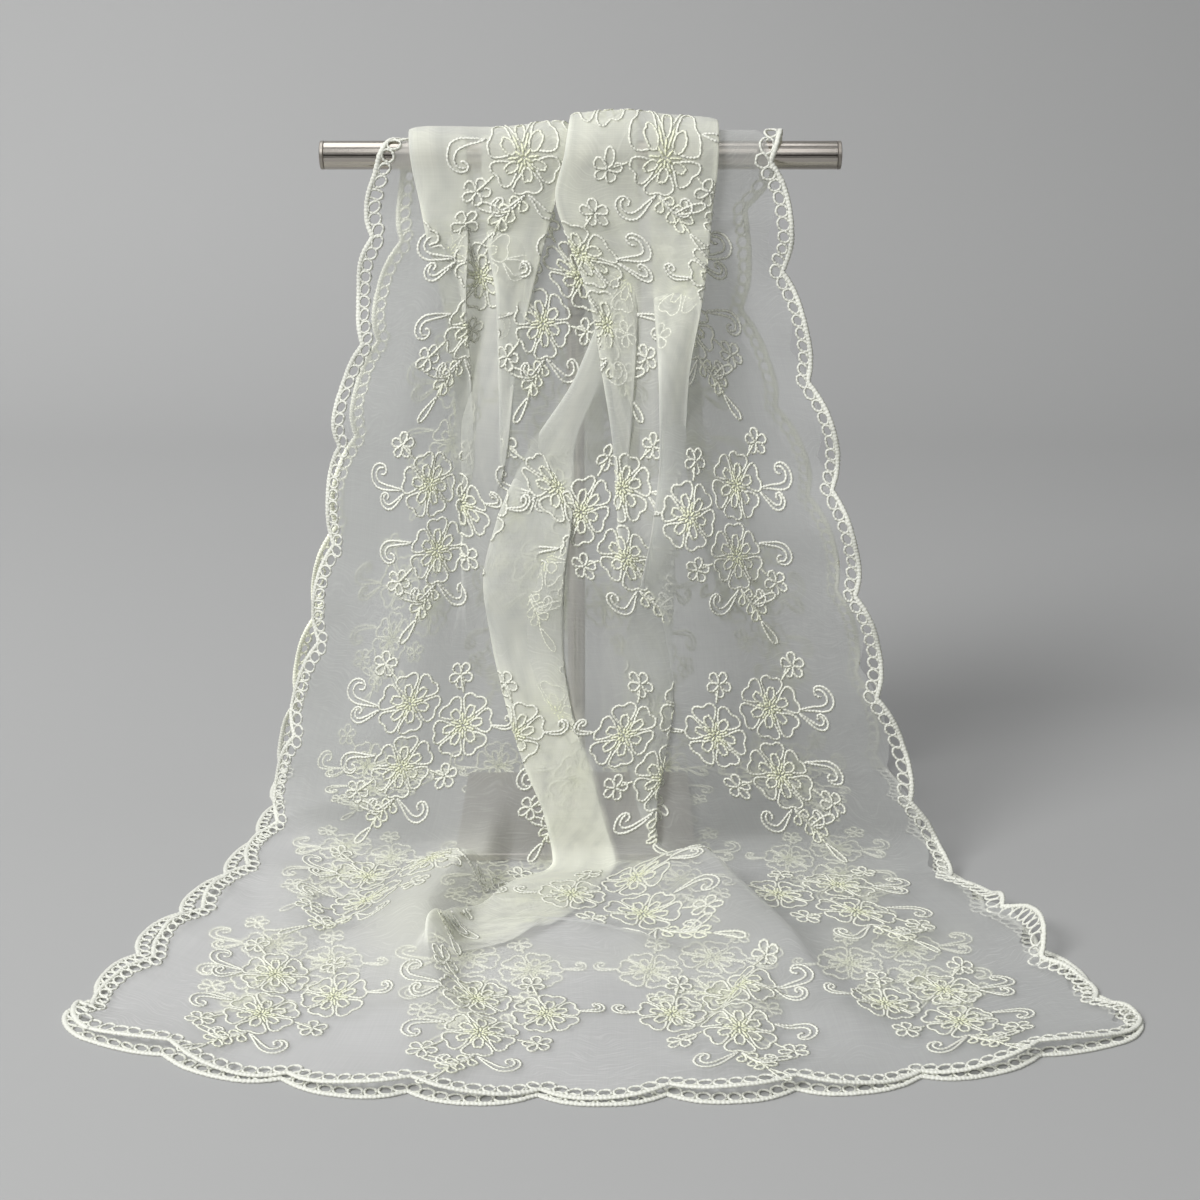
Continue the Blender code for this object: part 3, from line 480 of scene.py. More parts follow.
def wholeDrape():
    halves = []
    for front, length in ((True, scarf["front"]), (False, scarf["back"])):
        distance = np.linspace(0, length, round(length / scarf["rowStep"]) + 1)
        halves.append(drapeHalf(front, distance))
    return [np.concatenate([a[::-1], b[1:]]) for a, b in zip(*halves)]


points, uAt, wAt, gather, pressed, floorLightMask = wholeDrape()
print("stage 2: drape", points.shape)

# Even map of the cloth: rows as in the drape, even steps of u across.
mapU = np.linspace(0, scarf["width"], round(scarf["width"] / scarf["mapStep"]) + 1)
mapW = wAt[:, 0]
mapPoints = np.stack(
    [np.stack([np.interp(mapU, u, row[:, k]) for k in range(3)], -1) for u, row in zip(uAt, points)]
)
mapNormals = np.cross(np.gradient(mapPoints, axis=1), np.gradient(mapPoints, axis=0))
mapNormals /= np.linalg.norm(mapNormals, axis=2, keepdims=True) + 1e-12


# Place and facing of points of the flat cloth, read from the map by bilinear blending.
def onCloth(u, w):
    row = np.interp(-w, -mapW, np.arange(len(mapW)))
    column = np.clip(u / scarf["mapStep"], 0, len(mapU) - 1)
    i = np.minimum(row.astype(int), len(mapW) - 2)
    j = np.minimum(column.astype(int), len(mapU) - 2)
    a, b = (row - i)[..., None], (column - j)[..., None]

    def read(grid):
        return ((grid[i, j] * (1 - b) + grid[i, j + 1] * b) * (1 - a)
                + (grid[i + 1, j] * (1 - b) + grid[i + 1, j + 1] * b) * a)

    normal = read(mapNormals)
    return read(mapPoints), normal / (np.linalg.norm(normal, axis=-1, keepdims=True) + 1e-12)


# A mesh object from arrays: corners, groups of faces with the same number of corners, and values kept at
# each corner under a name.
def makePiece(name, corners, faceGroups, values=None, material=None):
    mesh = bpy.data.meshes.new(name)
    loops = np.concatenate([group.ravel() for group in faceGroups])
    sizes = np.concatenate([np.full(len(group), group.shape[1]) for group in faceGroups])
    mesh.vertices.add(len(corners))
    mesh.vertices.foreach_set("co", np.asarray(corners, np.float32).ravel())
    mesh.loops.add(len(loops))
    mesh.loops.foreach_set("vertex_index", loops.astype(np.int32))
    mesh.polygons.add(len(sizes))
    mesh.polygons.foreach_set("loop_start", (np.cumsum(sizes) - sizes).astype(np.int32))
    mesh.polygons.foreach_set("loop_total", sizes.astype(np.int32))
    mesh.polygons.foreach_set("use_smooth", np.ones(len(sizes), bool))
    for key, value in (values or {}).items():
        layer = mesh.attributes.new(key, "FLOAT", "POINT")
        layer.data.foreach_set("value", np.asarray(value, np.float32).ravel())
    mesh.update(calc_edges=True)
    piece = bpy.data.objects.new(name, mesh)
    scene.collection.objects.link(piece)
    if material:
        mesh.materials.append(material)
    return piece


# Writes a UV map from one (u, v) pair for each corner point.
def mapCorners(piece, name, pairs):
    mesh = piece.data
    corner = np.empty(len(mesh.loops), np.int32)
    mesh.loops.foreach_get("vertex_index", corner)
    layer = mesh.uv_layers.new(name=name)
    layer.data.foreach_set("uv", np.asarray(pairs, np.float32)[corner].ravel())


def gridFaces(rows, columns):
    index = np.arange(rows * columns).reshape(rows, columns)
    a, b, c, d = index[:-1, :-1], index[:-1, 1:], index[1:, 1:], index[1:, :-1]
    return np.stack([a, b, c, d], -1).reshape(-1, 4)


edging = {
    "pitch": 0.0728,  # one scallop along the sides
    "hemScallops": 9,
    "depth": 0.010,  # of the notch between two scallops
    "fullness": 2.6,  # the higher, the fuller the scallops and the narrower their notches
    "cornerFullness": 3.2,
    "leftStart": 0.022,  # from the front hem to the left side's first notch
    "cornerRadius": 0.024,
    "step": 0.001,  # between points of the outline
    "cordInset": 0.0015,
    "cordWidth": 0.0035,
    "cordHeight": 0.0019,
    "cordStep": 0.0015,
    "cordBead": 0.12,  # how much wider every other point of it is
    "cordLift": 0.0003,  # of its middle over the cloth
    "ringInset": 0.0066,
    "ringRadius": 0.0040,
    "ringPitch": 0.0085,
    "ringPoints": 13,
    "ringCord": 0.0019,
    "ringFlat": 0.8,  # its height, as a share of its width
    "ringBead": 0.14,
    "ringLift": 0.0002,
    "ringVary": 0.05,  # how much rings differ in size, and in how oval they are
    "ringOval": 0.07,
    "clothInset": 0.0098,  # where the sheer cloth ends, under the rings
    "clothReach": 0.034,  # how far in from an edge its grid gives way to that
    "paintedLightTo": 0.50,  # how far down the back half its cords are painted paler, as painted light through the cloth before them
}
wholeLength = scarf["front"] + scarf["back"]


# How far the outline stands in from a straight edge, by the number of scallops from its start: a power
# of the way from the scallop's middle.
def scallops(part):
    return np.abs(2 * (part % 1.0) - 1) ** edging["fullness"]


# The same along a whole edge, whose first and last scallops bulge all the way to the corners.
def scallopInset(s, total, pitch):
    fromEnd = np.minimum(s, total - s) / pitch
    lobe = np.clip(fromEnd, 0, 1) ** edging["cornerFullness"]
    return edging["depth"] * np.where(fromEnd < 1, lobe, scallops(s / pitch))


def hemInset(u):
    return scallopInset(u, scarf["width"], scarf["width"] / edging["hemScallops"])


def rightInset(w):
    return scallopInset(scarf["front"] - w, wholeLength, edging["pitch"])


# The left side's notches stand where they fall, with no lobe of their own at the corners.
def leftInset(w):
    return edging["depth"] * scallops((scarf["front"] - w - edging["leftStart"]) / edging["pitch"])


def polar(radius, angle, cx, cy):  # points at an angle and a distance from (cx, cy)
    return np.stack([cx + radius * np.cos(angle), cy + radius * np.sin(angle)], -1)


# The whole outline as one closed line in flat coordinates, corners rounded, in even steps.
def outline():
    r, width, top, foot = edging["cornerRadius"], scarf["width"], scarf["front"], -scarf["back"]
    across = np.linspace(r, width - r, 700)
    along = np.linspace(top - r, foot + r, 2000)
    quarter = np.linspace(0, math.pi / 2, 40)
    runs = [
        np.stack([across, top - hemInset(across)], -1),
        polar(r, math.pi / 2 - quarter, width - r, top - r),
        np.stack([width - rightInset(along), along], -1),
        polar(r, -quarter, width - r, foot + r),
        np.stack([across[::-1], foot + hemInset(across[::-1])], -1),
        polar(r, -math.pi / 2 - quarter, r, foot + r),
        np.stack([leftInset(along[::-1]), along[::-1]], -1),
        polar(r, math.pi - quarter, r, top - r),
    ]
    return evenPoints(np.concatenate(runs), edging["step"], closed=True)


# Points at even steps along a line, worked out from its running length.
def evenPoints(line, step, closed=False):
    if closed:
        line = np.concatenate([line, line[:1]])
    run = np.concatenate([[0], np.cumsum(np.linalg.norm(np.diff(line, axis=0), axis=1))])
    count = max(int(round(run[-1] / step)), 3)
    at = np.linspace(0, run[-1], count + 1)
    if closed:
        at = at[:-1]
    return np.stack([np.interp(at, run, line[:, 0]), np.interp(at, run, line[:, 1])], -1)


# A closed line moved inwards, to the right of its run, along normals taken over a few steps.
def movedIn(line, distance, reach=4):
    tangent = np.roll(line, -reach, 0) - np.roll(line, reach, 0)
    tangent /= np.linalg.norm(tangent, axis=1, keepdims=True)
    return line + distance * np.stack([tangent[:, 1], -tangent[:, 0]], -1)


cordForm = {
    "turnsOver": (0.470, 0.520),  # how far down the back half the cords pass from one side to the other
    "stray": 0.00010,  # how far the points stray
    "endSize": 0.45,  # share of its full size that an open cord has at its ends
    "levels": 6,  # lines take turns at these, so that cords which cross don't share a height
    "levelRise": 0.16,  # share of the lift
    "fadeIn": 0.04, "fadeOut": 0.1,  # over how long the painted light on the back cords starts and ends
    "noEnd": 9,  # further down than the cloth goes
}


# Which side of the cloth the cords stand on: 1 its face, -1 the upper side of the layer on the floor.
def cordSide(w):
    return 1 - 2 * ease(-w, *cordForm["turnsOver"])


# Cords laid on the cloth along lines of its flat coordinates. At each point a ring with the given
# number of sides stands across the line, every other one wider by the bead share, and moved a little at
# random; an open line's ends are drawn in and closed. Keeps the running length, a tone for each line, and
# where it is on the back half, down to the given depth, where its colour is painted paler as painted light.
def layCords(name, lines, closed, width, height, lift, material, sides, bead, tones=None,
             paintedLightTo=cordForm["noEnd"]):
    counts = np.array([len(line) for line in lines])
    starts = np.cumsum(counts) - counts
    owner = np.repeat(np.arange(len(lines)), counts)
    flat = np.concatenate(lines)
    random = np.random.default_rng(len(lines))
    flat = flat + random.normal(0, cordForm["stray"], flat.shape)
    u = np.clip(flat[:, 0], 0, scarf["width"])
    w = np.clip(flat[:, 1], -scarf["back"], scarf["front"])
    centre, normal = onCloth(u, w)
    index = np.arange(len(flat))
    first, last = starts[owner], starts[owner] + counts[owner] - 1
    nextOne = np.where(index == last, first if closed else last, index + 1)
    before = np.where(index == first, last if closed else first, index - 1)
    tangent = centre[nextOne] - centre[before]
    tangent /= np.linalg.norm(tangent, axis=1, keepdims=True) + 1e-12
    side = np.cross(normal, tangent)
    side /= np.linalg.norm(side, axis=1, keepdims=True) + 1e-12
    up = np.cross(tangent, side)
    lifts = lift * (1 + cordForm["levelRise"] * (owner % cordForm["levels"]))
    centre = centre + normal * (lifts * cordSide(w))[:, None]
    atEnd = (index == first) | (index == last)
    beads = 1.0 + bead * (2 * (index % 2) - 1)
    size = np.where(atEnd & (not closed), cordForm["endSize"], beads)[:, None, None]
    angle = (np.arange(sides) + 0.25 * (sides % 2)) * 2 * math.pi / sides
    oval = (np.cos(angle)[None, :, None] * side[:, None] * width / 2
            + np.sin(angle)[None, :, None] * up[:, None] * height / 2)
    corners = centre[:, None] + oval * size
    k = np.arange(sides)
    following = (k + 1) % sides
    here, there = index[nextOne != index], nextOne[nextOne != index]
    quads = np.stack([
        here[:, None] * sides + k, here[:, None] * sides + following,
        there[:, None] * sides + following, there[:, None] * sides + k,
    ], -1).reshape(-1, 4)
    groups = [quads]
    if not closed:
        groups.append(starts[:, None] * sides + k[::-1])
        groups.append((starts + counts - 1)[:, None] * sides + k)
    step = np.linalg.norm(centre - centre[before], axis=1)
    run = np.cumsum(np.where(index == first, 0, step))
    run = run - run[first]
    tone = np.zeros(len(flat)) if tones is None else np.repeat(tones, counts)
    behind = within(-w, 0, cordForm["fadeIn"], paintedLightTo - cordForm["fadeOut"], paintedLightTo)
    values = {"run": run, "tone": tone, "behind": behind}
    values = {key: np.repeat(value, sides) for key, value in values.items()}
    return makePiece(name, corners.reshape(-1, 3), groups, values, material)


embroidery = {
    # for each stretch of the cloth: w of its rows of sprays, the way their tops point along it, and how
    # far from its middle they stand, on both sides
    "stretches": {
        "sprayFrontSpread": ((0.742, 0.586), -1, (0.075, 0.215)),
        "sprayFrontFall": ((0.430, 0.274, 0.118), -1, (0.075, 0.215)),
        "sprayBar": ((0.008,), -1, (0.152,)),  # on the faces of the strands
        "sprayBackFall": ((-0.218, -0.380), 1, (0.075, 0.215)),
        "sprayUnder": ((-0.542, -0.704, -0.866), 1, (0.075, 0.215)),
    },
    "cordWidth": 0.0021,
    "cordHeight": 0.0014,
    "bead": 0.20,
    "lift": 0.00035,
    "step": 1.22,  # mm between points of a cord
    # mm from the middle of a spray, +X away from the middle of the cloth, +Y towards its top
    "bigFlowers": ((13, 38, 23.5, 0.20), (-34, 22, 23.0, 0.75), (5, -9, 23.5, 0.45)),  # x, y, radius, turn
    # x, y, turn, and where its short stem comes from
    "smallFlowers": ((38, 66, 0.3, 27, 56), (-24, 58, 0.9, -28, 45), (-31, -15, 0.1, -18, -11),
                     (36, -31, 0.7, 25, -20)),
    # start x, y, heading in degrees, length, curl: more than 0 turns left
    "scrolls": (
        (35, 35, -6, 62, 1), (35, 33, -52, 44, 1), (27, -2, 4, 56, -1),
        (3, -32, 232, 58, -1), (4, -32, -58, 46, 1), (-55, 24, 190, 36, -1),
    ),
    "sprig": {"start": (4, -33), "heading": -62, "length": 28, "leaves": 3, "leaf": 9.0},
}


def turned(x, y, angle, cx, cy):
    return np.stack([cx + x * math.cos(angle) - y * math.sin(angle),
                     cy + x * math.sin(angle) + y * math.cos(angle)], -1)


# A loop that leaves a point and comes back: x grows and shrinks as a cosine, y is a sine times x.
def loopLine(cx, cy, angle, length, width):
    t = np.linspace(0, 1, 24)
    x = length * (1 - np.cos(2 * math.pi * t)) / 2
    y = width * 0.75 * np.sin(2 * math.pi * t) * (0.25 + 0.75 * x / length)
    return turned(x, y, angle, cx, cy)


# A line with its corners rounded by a running mean.
def rounded(line, times=2):
    for _ in range(times):
        inner = (line[:-2] + 2 * line[1:-1] + line[2:]) / 4
        line = np.concatenate([line[:1], inner, line[-1:]])
    return line


flower = {  # lengths as shares of its radius, angles in radians from a petal's middle
    "petals": 6,
    "side": (0.40, 0.72),  # where a petal's side starts and ends
    "sideSwing": 0.34,  # how far round it starts, and how much further it ends
    "sideFlare": 0.13,
    "rimFall": 0.21, "rimSquare": 3.2,
    "rimDip": 0.095, "rimDipWidth": 0.17,
    "heart": 0.47, "heartReach": 0.23, "heartSwing": 0.31, "heartFull": 0.08,
    "heartDip": 0.09, "heartDipWidth": 0.07,
    "ray": (0.04, 0.24), "longRay": (0.12, 0.44),
    "vary": 0.04,  # how much the petals differ
    "tones": (0.1, 0.35, 1.0, 0.8),  # how warm the petal, its inner loop, its ray and the long ray are
}


# Each petal runs out along a side that flares as a sine, over a rim that falls away to both ends and
# dips in its middle, and back. Inside each is a loop with a dip in its top, and from the middle a short
# ray runs to it and a longer one between it and the next.
def bigFlower(cx, cy, size, turn):
    lines = []
    v = np.linspace(-1, 1, 41)
    dip = flower["rimDip"] * np.exp(-((v / flower["rimDipWidth"]) ** 2))
    rim = 1.0 - flower["rimFall"] * np.abs(v) ** flower["rimSquare"] - dip
    inner, outer = flower["side"]
    side = np.linspace(inner, outer, 9)
    most = flower["sideSwing"] + flower["sideFlare"]
    flare = flower["sideSwing"] + flower["sideFlare"] * np.sin((side - inner) / (outer - inner) * math.pi / 2)
    radius = np.concatenate([side, rim, side[::-1]])
    swing = np.concatenate([-flare, most * np.sin(v * math.pi / 2), flare[::-1]])
    t = np.linspace(0, 1, 40)
    dip = flower["heartDip"] * np.exp(-(((t - 0.5) / flower["heartDipWidth"]) ** 2))
    heart = flower["heart"] - flower["heartReach"] * np.cos(2 * math.pi * t) - dip
    full = flower["heartFull"] * np.sin(2 * math.pi * t)
    heartSwing = flower["heartSwing"] * np.sin(2 * math.pi * (t + full))
    petalTone, heartTone, rayTone, longTone = flower["tones"]
    for petal in range(flower["petals"]):
        middle = turn + petal * 2 * math.pi / flower["petals"]
        between = middle + math.pi / flower["petals"]
        vary = size * (1 + flower["vary"] * math.sin(2.3 * petal + 9 * turn))
        lines.append((rounded(polar(radius * vary, middle + swing, cx, cy)), petalTone))
        lines.append((polar(heart * vary, middle - heartSwing, cx, cy), heartTone))
        lines.append((polar(np.linspace(*flower["ray"], 4) * size, middle, cx, cy), rayTone))
        lines.append((polar(np.linspace(*flower["longRay"], 6) * size, between, cx, cy), longTone))
    return lines


# Five loops round a point, and a short straight stem.
def smallFlower(cx, cy, turn, stemX, stemY):
    petals = [(loopLine(cx, cy, turn + k * 2 * math.pi / 5, 9.2, 5.6), 0.1) for k in range(5)]
    return petals + [(np.linspace((stemX, stemY), (cx, cy), 5), 0.2)]


scrollForm = {
    "straight": 0.004,  # radians to each mm of a scroll of 62 mm
    "crest": (0.108, 0.20, 0.46),  # how much more it bends, and between which shares of its length
    "hook": (0.20, 0.70, 0.98),
    "bendFor": 62,
    "twin": 4.6,  # mm from it to its second line, at the crest of a scroll of 60 mm
    "twinFor": 60, "twinFull": 0.9,
    "twinMeets": 0.95, "twinKept": 0.87,  # where that one would come back to it, and where it stops
}


# A stem that runs nearly straight, rounds a crest and ends in a tight hook, its heading the running sum
# of a bend that eases up twice; and a second line inside it, furthest from it at the crest.
def scroll(x, y, heading, length, curl):
    part = np.linspace(0, 1, 90)
    crest, crestFrom, crestAt = scrollForm["crest"]
    hook, hookFrom, hookAt = scrollForm["hook"]
    bend = scrollForm["straight"] + crest * ease(part, crestFrom, crestAt)
    bend = (bend + hook * ease(part, hookFrom, hookAt)) * scrollForm["bendFor"] / length
    step = length / (len(part) - 1)
    angle = math.radians(heading) + curl * np.cumsum(bend) * step
    px = x + np.cumsum(np.cos(angle)) * step
    py = y + np.cumsum(np.sin(angle)) * step
    swell = np.sin(np.clip(part / scrollForm["twinMeets"], 0, 1) * math.pi) ** scrollForm["twinFull"]
    inside = scrollForm["twin"] * swell * curl * length / scrollForm["twinFor"]
    keep = int(len(part) * scrollForm["twinKept"])
    twin = np.stack([px - inside * np.sin(angle), py + inside * np.cos(angle)], -1)[:keep]
    return [(np.stack([px, py], -1), 0.0), (twin, 0.0)]


sprigForm = {
    "sway": 0.35, "lean": 0.1,  # radians, how far its stem bends to one side and leans to the other
    "leafFrom": 0.14, "leafSpread": 0.80,  # shares of the stem
    "leafTurn": (1.05, -0.06),  # of the first pair, and what each further pair adds
    "leafSize": (0.85, 0.05),
    "leafWidth": 5.2,
    "longLoops": ((1.0, 0.45, 2.2, 5.0), (0.52, 1.15, 2.4, 4.8)),  # place, turn, length in leaves, width
}


# A swaying stem with pairs of leaf loops, and a long loop at its tip and one near its middle.
def sprig(start, heading, length, leaves, leaf):
    way = np.linspace(0, length, 40)
    angle = (math.radians(heading) + sprigForm["sway"] * np.sin(way / length * math.pi * 1.3)
             - sprigForm["lean"])
    px = start[0] + np.cumsum(np.cos(angle)) * way[1]
    py = start[1] + np.cumsum(np.sin(angle)) * way[1]
    lines = [(np.stack([px, py], -1), 0.4)]
    (turn, turnMore), (size, sizeMore) = sprigForm["leafTurn"], sprigForm["leafSize"]
    for k in range(leaves):
        i = int(len(way) * (sprigForm["leafFrom"] + sprigForm["leafSpread"] * k / leaves))
        for side in (-1, 1):
            lines.append((loopLine(px[i], py[i], angle[i] + side * (turn + turnMore * k),
                                   leaf * (size + sizeMore * k), sprigForm["leafWidth"]), 0.35))
    for place, turn, size, width in sprigForm["longLoops"]:
        i = min(int(len(way) * place), len(way) - 1)
        lines.append((loopLine(px[i], py[i], angle[i] + turn, leaf * size, width), 0.1))
    return lines


# All the cords of one spray, as (line in mm, tone).
def spray():
    lines = []
    for x, y, size, turn in embroidery["bigFlowers"]:
        lines += bigFlower(x, y, size, turn)
    for x, y, turn, stemX, stemY in embroidery["smallFlowers"]:
        lines += smallFlower(x, y, turn, stemX, stemY)
    for x, y, heading, length, curl in embroidery["scrolls"]:
        lines += scroll(x, y, heading, length, curl)
    lines += sprig(**embroidery["sprig"])
    return [(evenPoints(line, embroidery["step"]), tone) for line, tone in lines]


# The spray's cords moved to one place of the cloth.
def placedSpray(lines, column, w, top):
    middle = scarf["width"] / 2
    out = 1 if column > 0 else -1
    return [(np.stack([middle + column + out * line[:, 0] * mm, w + top * line[:, 1] * mm], -1), tone)
            for line, tone in lines]


# A shader group with named sockets. sockets: (name, kind, default), kind is Float, Vector or Color.
def newGroup(name, inputs, outputs):
    group = bpy.data.node_groups.new(name, "ShaderNodeTree")
    for key, kind, default in inputs:
        socket = group.interface.new_socket(key, in_out="INPUT", socket_type=f"NodeSocket{kind}")
        if default is not None:
            socket.default_value = default
    for key, kind in outputs:
        group.interface.new_socket(key, in_out="OUTPUT", socket_type=f"NodeSocket{kind}")
    return group, group.nodes.new("NodeGroupInput"), group.nodes.new("NodeGroupOutput")


# Gives a node its inputs: a socket is linked, a number or a colour is set on the node's own socket.
def feed(tree, node, inputs):
    for key, value in inputs.items():
        if isinstance(value, bpy.types.NodeSocket):
            tree.links.new(value, node.inputs[key])
        else:
            node.inputs[key].default_value = value
    return node


def add(tree, kind, inputs=None, **options):  # a new node, with its own settings as options
    node = tree.nodes.new(f"ShaderNode{kind}")
    for key, value in options.items():
        setattr(node, key, value)
    return feed(tree, node, inputs or {})


def keptValue(tree, name):  # what a piece keeps at each of its corners
    return add(tree, "Attribute", attribute_name=name).outputs["Fac"]


def math2(tree, operation, a, b=0.0, c=0.0):
    return add(tree, "Math", {0: a, 1: b, 2: c}, operation=operation).outputs[0]


# Mixes two colours by a factor.
def blendColors(tree, factor, a, b):
    node = add(tree, "Mix", {0: factor, 6: a, 7: b}, data_type="RGBA")
    return node.outputs[2]


weaveForm = {
    "slubs": ((1300, 18, 1), (14, 1500, 1)),  # how fine, across, along and through, each way's noise is
    "hairlines": (60, 900, 1),
    "hairFrom": 0.50, "hairAt": 0.70,  # the fainter and the fuller end of their noise
    "bend": (0.034, 0.044, 0), "bendScale": 26.0,
    "patchScale": 8.0, "patchFrom": 0.42, "patchAt": 0.62,
}


# Fine threads both ways, as two waves, and slubs, noise drawn out along each thread direction.
def weaveGroup():
    group, inside, outside = newGroup(
        "organzaWeave",
        [("Cut", "Vector", None), ("Threads", "Float", 10500.0), ("Slub", "Float", 1.0)],
        [("Thread", "Float"), ("Streak", "Float"), ("Crinkle", "Float")],
    )
    cut = inside.outputs["Cut"]
    apart = add(group, "SeparateXYZ", {0: cut})
    rows = []
    for axis in (0, 1):
        angle = math2(group, "MULTIPLY", apart.outputs[axis], inside.outputs["Threads"])
        rows.append(math2(group, "SINE", angle))
    both = math2(group, "MULTIPLY_ADD", math2(group, "ADD", rows[0], rows[1]), 0.25, 0.5)
    streaks = []
    for scale in weaveForm["slubs"]:
        stretched = add(group, "Mapping", {"Vector": cut, "Scale": scale})
        noise = add(group, "TexNoise", {"Vector": stretched.outputs[0], "Scale": 1.0, "Detail": 2.0})
        streaks.append(noise.outputs[0])
    slub = math2(group, "MULTIPLY", math2(group, "ADD", streaks[0], streaks[1]), 0.5)
    slub = math2(group, "MULTIPLY_ADD", math2(group, "SUBTRACT", slub, 0.5), inside.outputs["Slub"], 0.5)

    # crinkles: fine hairlines across the cloth, bent by slow noise and gathered in patches
    slow = add(group, "TexNoise", {"Vector": cut, "Scale": weaveForm["bendScale"], "Detail": 1.0})
    bent = add(group, "VectorMath", {0: slow.outputs[1], 1: weaveForm["bend"], 2: cut},
               operation="MULTIPLY_ADD")
    drawn = add(group, "Mapping", {"Vector": bent.outputs[0], "Scale": weaveForm["hairlines"]})
    hair = add(group, "TexNoise", {"Vector": drawn.outputs[0], "Scale": 1.0, "Detail": 3.0})
    patch = add(group, "TexNoise", {"Vector": cut, "Scale": weaveForm["patchScale"], "Detail": 1.0})
    where = add(group, "MapRange", {"Value": patch.outputs[0], "From Min": weaveForm["patchFrom"],
                                    "From Max": weaveForm["patchAt"]})
    line = add(group, "MapRange", {"Value": hair.outputs[0], "From Min": weaveForm["hairFrom"],
                                   "From Max": weaveForm["hairAt"]})
    crinkle = math2(group, "MULTIPLY", where.outputs[0], line.outputs[0])
    feed(group, outside, {"Thread": both, "Streak": slub, "Crinkle": crinkle})
    return group


# A cord's twist: a wave along its running length, and soft fuzz.
def twistGroup():
    group, inside, outside = newGroup(
        "cordTwist", [("Run", "Float", 0.0), ("Pitch", "Float", 0.002), ("Where", "Vector", None)],
        [("Height", "Float"), ("Fuzz", "Float")],
    )
    turns = math2(group, "DIVIDE", inside.outputs["Run"], inside.outputs["Pitch"])
    wave = math2(group, "SINE", math2(group, "MULTIPLY", turns, 2 * math.pi))
    fuzz = add(group, "TexNoise", {"Vector": inside.outputs["Where"], "Scale": 1400.0, "Detail": 2.0})
    height = math2(group, "MULTIPLY_ADD", wave, 0.32, 0.5)
    height = math2(group, "ADD", height, math2(group, "MULTIPLY", fuzz.outputs[0], 0.35))
    feed(group, outside, {"Height": height, "Fuzz": fuzz.outputs[0]})
    return group


# Brushing: noise drawn far out along one direction, and a slow stain.
def brushGroup():
    group, inside, outside = newGroup(
        "brushedLines", [("Where", "Vector", None), ("Stretch", "Vector", None)],
        [("Line", "Float"), ("Stain", "Float")],
    )
    stretched = add(group, "VectorMath", {0: inside.outputs["Where"], 1: inside.outputs["Stretch"]},
                    operation="MULTIPLY")
    fine = add(group, "TexNoise", {"Vector": stretched.outputs[0], "Scale": 1.0, "Detail": 3.0})
    stain = add(group, "TexNoise", {"Vector": inside.outputs["Where"], "Scale": 22.0, "Detail": 2.0})
    feed(group, outside, {"Line": fine.outputs[0], "Stain": stain.outputs[0]})
    return group


weave, twist, brush = weaveGroup(), twistGroup(), brushGroup()


def newMaterial(name):
    material = bpy.data.materials.new(name)
    material.use_nodes = True
    tree = material.node_tree
    return material, tree, tree.nodes["Principled BSDF"]


def surface(tree, shader):
    feed(tree, tree.nodes["Material Output"], {"Surface": shader.outputs[0]})


def bumps(tree, height, look):  # a normal that follows the height, as deep as the look says
    node = add(tree, "Bump", {"Strength": look["bump"], "Distance": look["bumpDepth"], "Height": height})
    return node.outputs[0]


organzaLook = {
    "thread": (0.69, 0.70, 0.69, 1),
    # painted light: the cloth lying on the floor is painted lighter, for the light from above
    "lying": (0.885, 0.885, 0.88, 1),
    # thicker where gathered, painted lighter as painted light for the light caught between its layers, and
    # yellower for the embroidery inside
    "gathered": (0.95, 0.957, 0.875, 1),
    "passes": 0.60,  # the share of the light that goes on through a thread, and what a strand adds to it
    "gatheredPasses": -0.12,
    "cover": 0.47,  # the share of the surface that is thread, and what each thing adds to it
    "gatheredCover": 0.09, "threadCover": 0.05, "streakCover": 0.16, "pressCover": 0.45,
    "crinkleCover": 0.15,
    "roughness": 0.62, "sheen": 0.10, "sheenRoughness": 0.35, "shine": 0.25,
}


# Threads that half reflect and half pass the light on, with open gaps between them.
def organzaMaterial():
    material, tree, shader = newMaterial("ivoryOrganza")
    cut = add(tree, "UVMap", uv_map="cut").outputs[0]
    threads = add(tree, "Group", {"Cut": cut}, node_tree=weave)
    gathered = keptValue(tree, "gather")
    # painted light: lighter where the cloth lies on the floor
    color = blendColors(tree, keptValue(tree, "floorLightMask"), organzaLook["thread"], organzaLook["lying"])
    # painted light: lighter where the cloth is gathered and on the crests of the left ridges
    color = blendColors(tree, gathered, color, organzaLook["gathered"])
    feed(tree, shader, {
        "Base Color": color, "Roughness": organzaLook["roughness"], "Sheen Weight": organzaLook["sheen"],
        "Sheen Roughness": organzaLook["sheenRoughness"], "Specular IOR Level": organzaLook["shine"],
    })
    cover = organzaLook["cover"]
    for value, share in (
        (gathered, "gatheredCover"),
        (math2(tree, "SUBTRACT", threads.outputs["Streak"], 0.5), "streakCover"),
        (math2(tree, "SUBTRACT", threads.outputs["Thread"], 0.5), "threadCover"),
        (keptValue(tree, "press"), "pressCover"),
        (threads.outputs["Crinkle"], "crinkleCover"),
    ):
        cover = math2(tree, "MULTIPLY_ADD", value, organzaLook[share], cover)
    glow = add(tree, "BsdfTranslucent", {"Color": color})
    passes = math2(tree, "MULTIPLY_ADD", gathered, organzaLook["gatheredPasses"], organzaLook["passes"])
    threadShader = add(tree, "MixShader", {0: passes, 1: shader.outputs[0], 2: glow.outputs[0]})
    gap = add(tree, "BsdfTransparent")
    whole = add(tree, "MixShader", {0: cover, 1: gap.outputs[0], 2: threadShader.outputs[0]})
    surface(tree, whole)
    return material


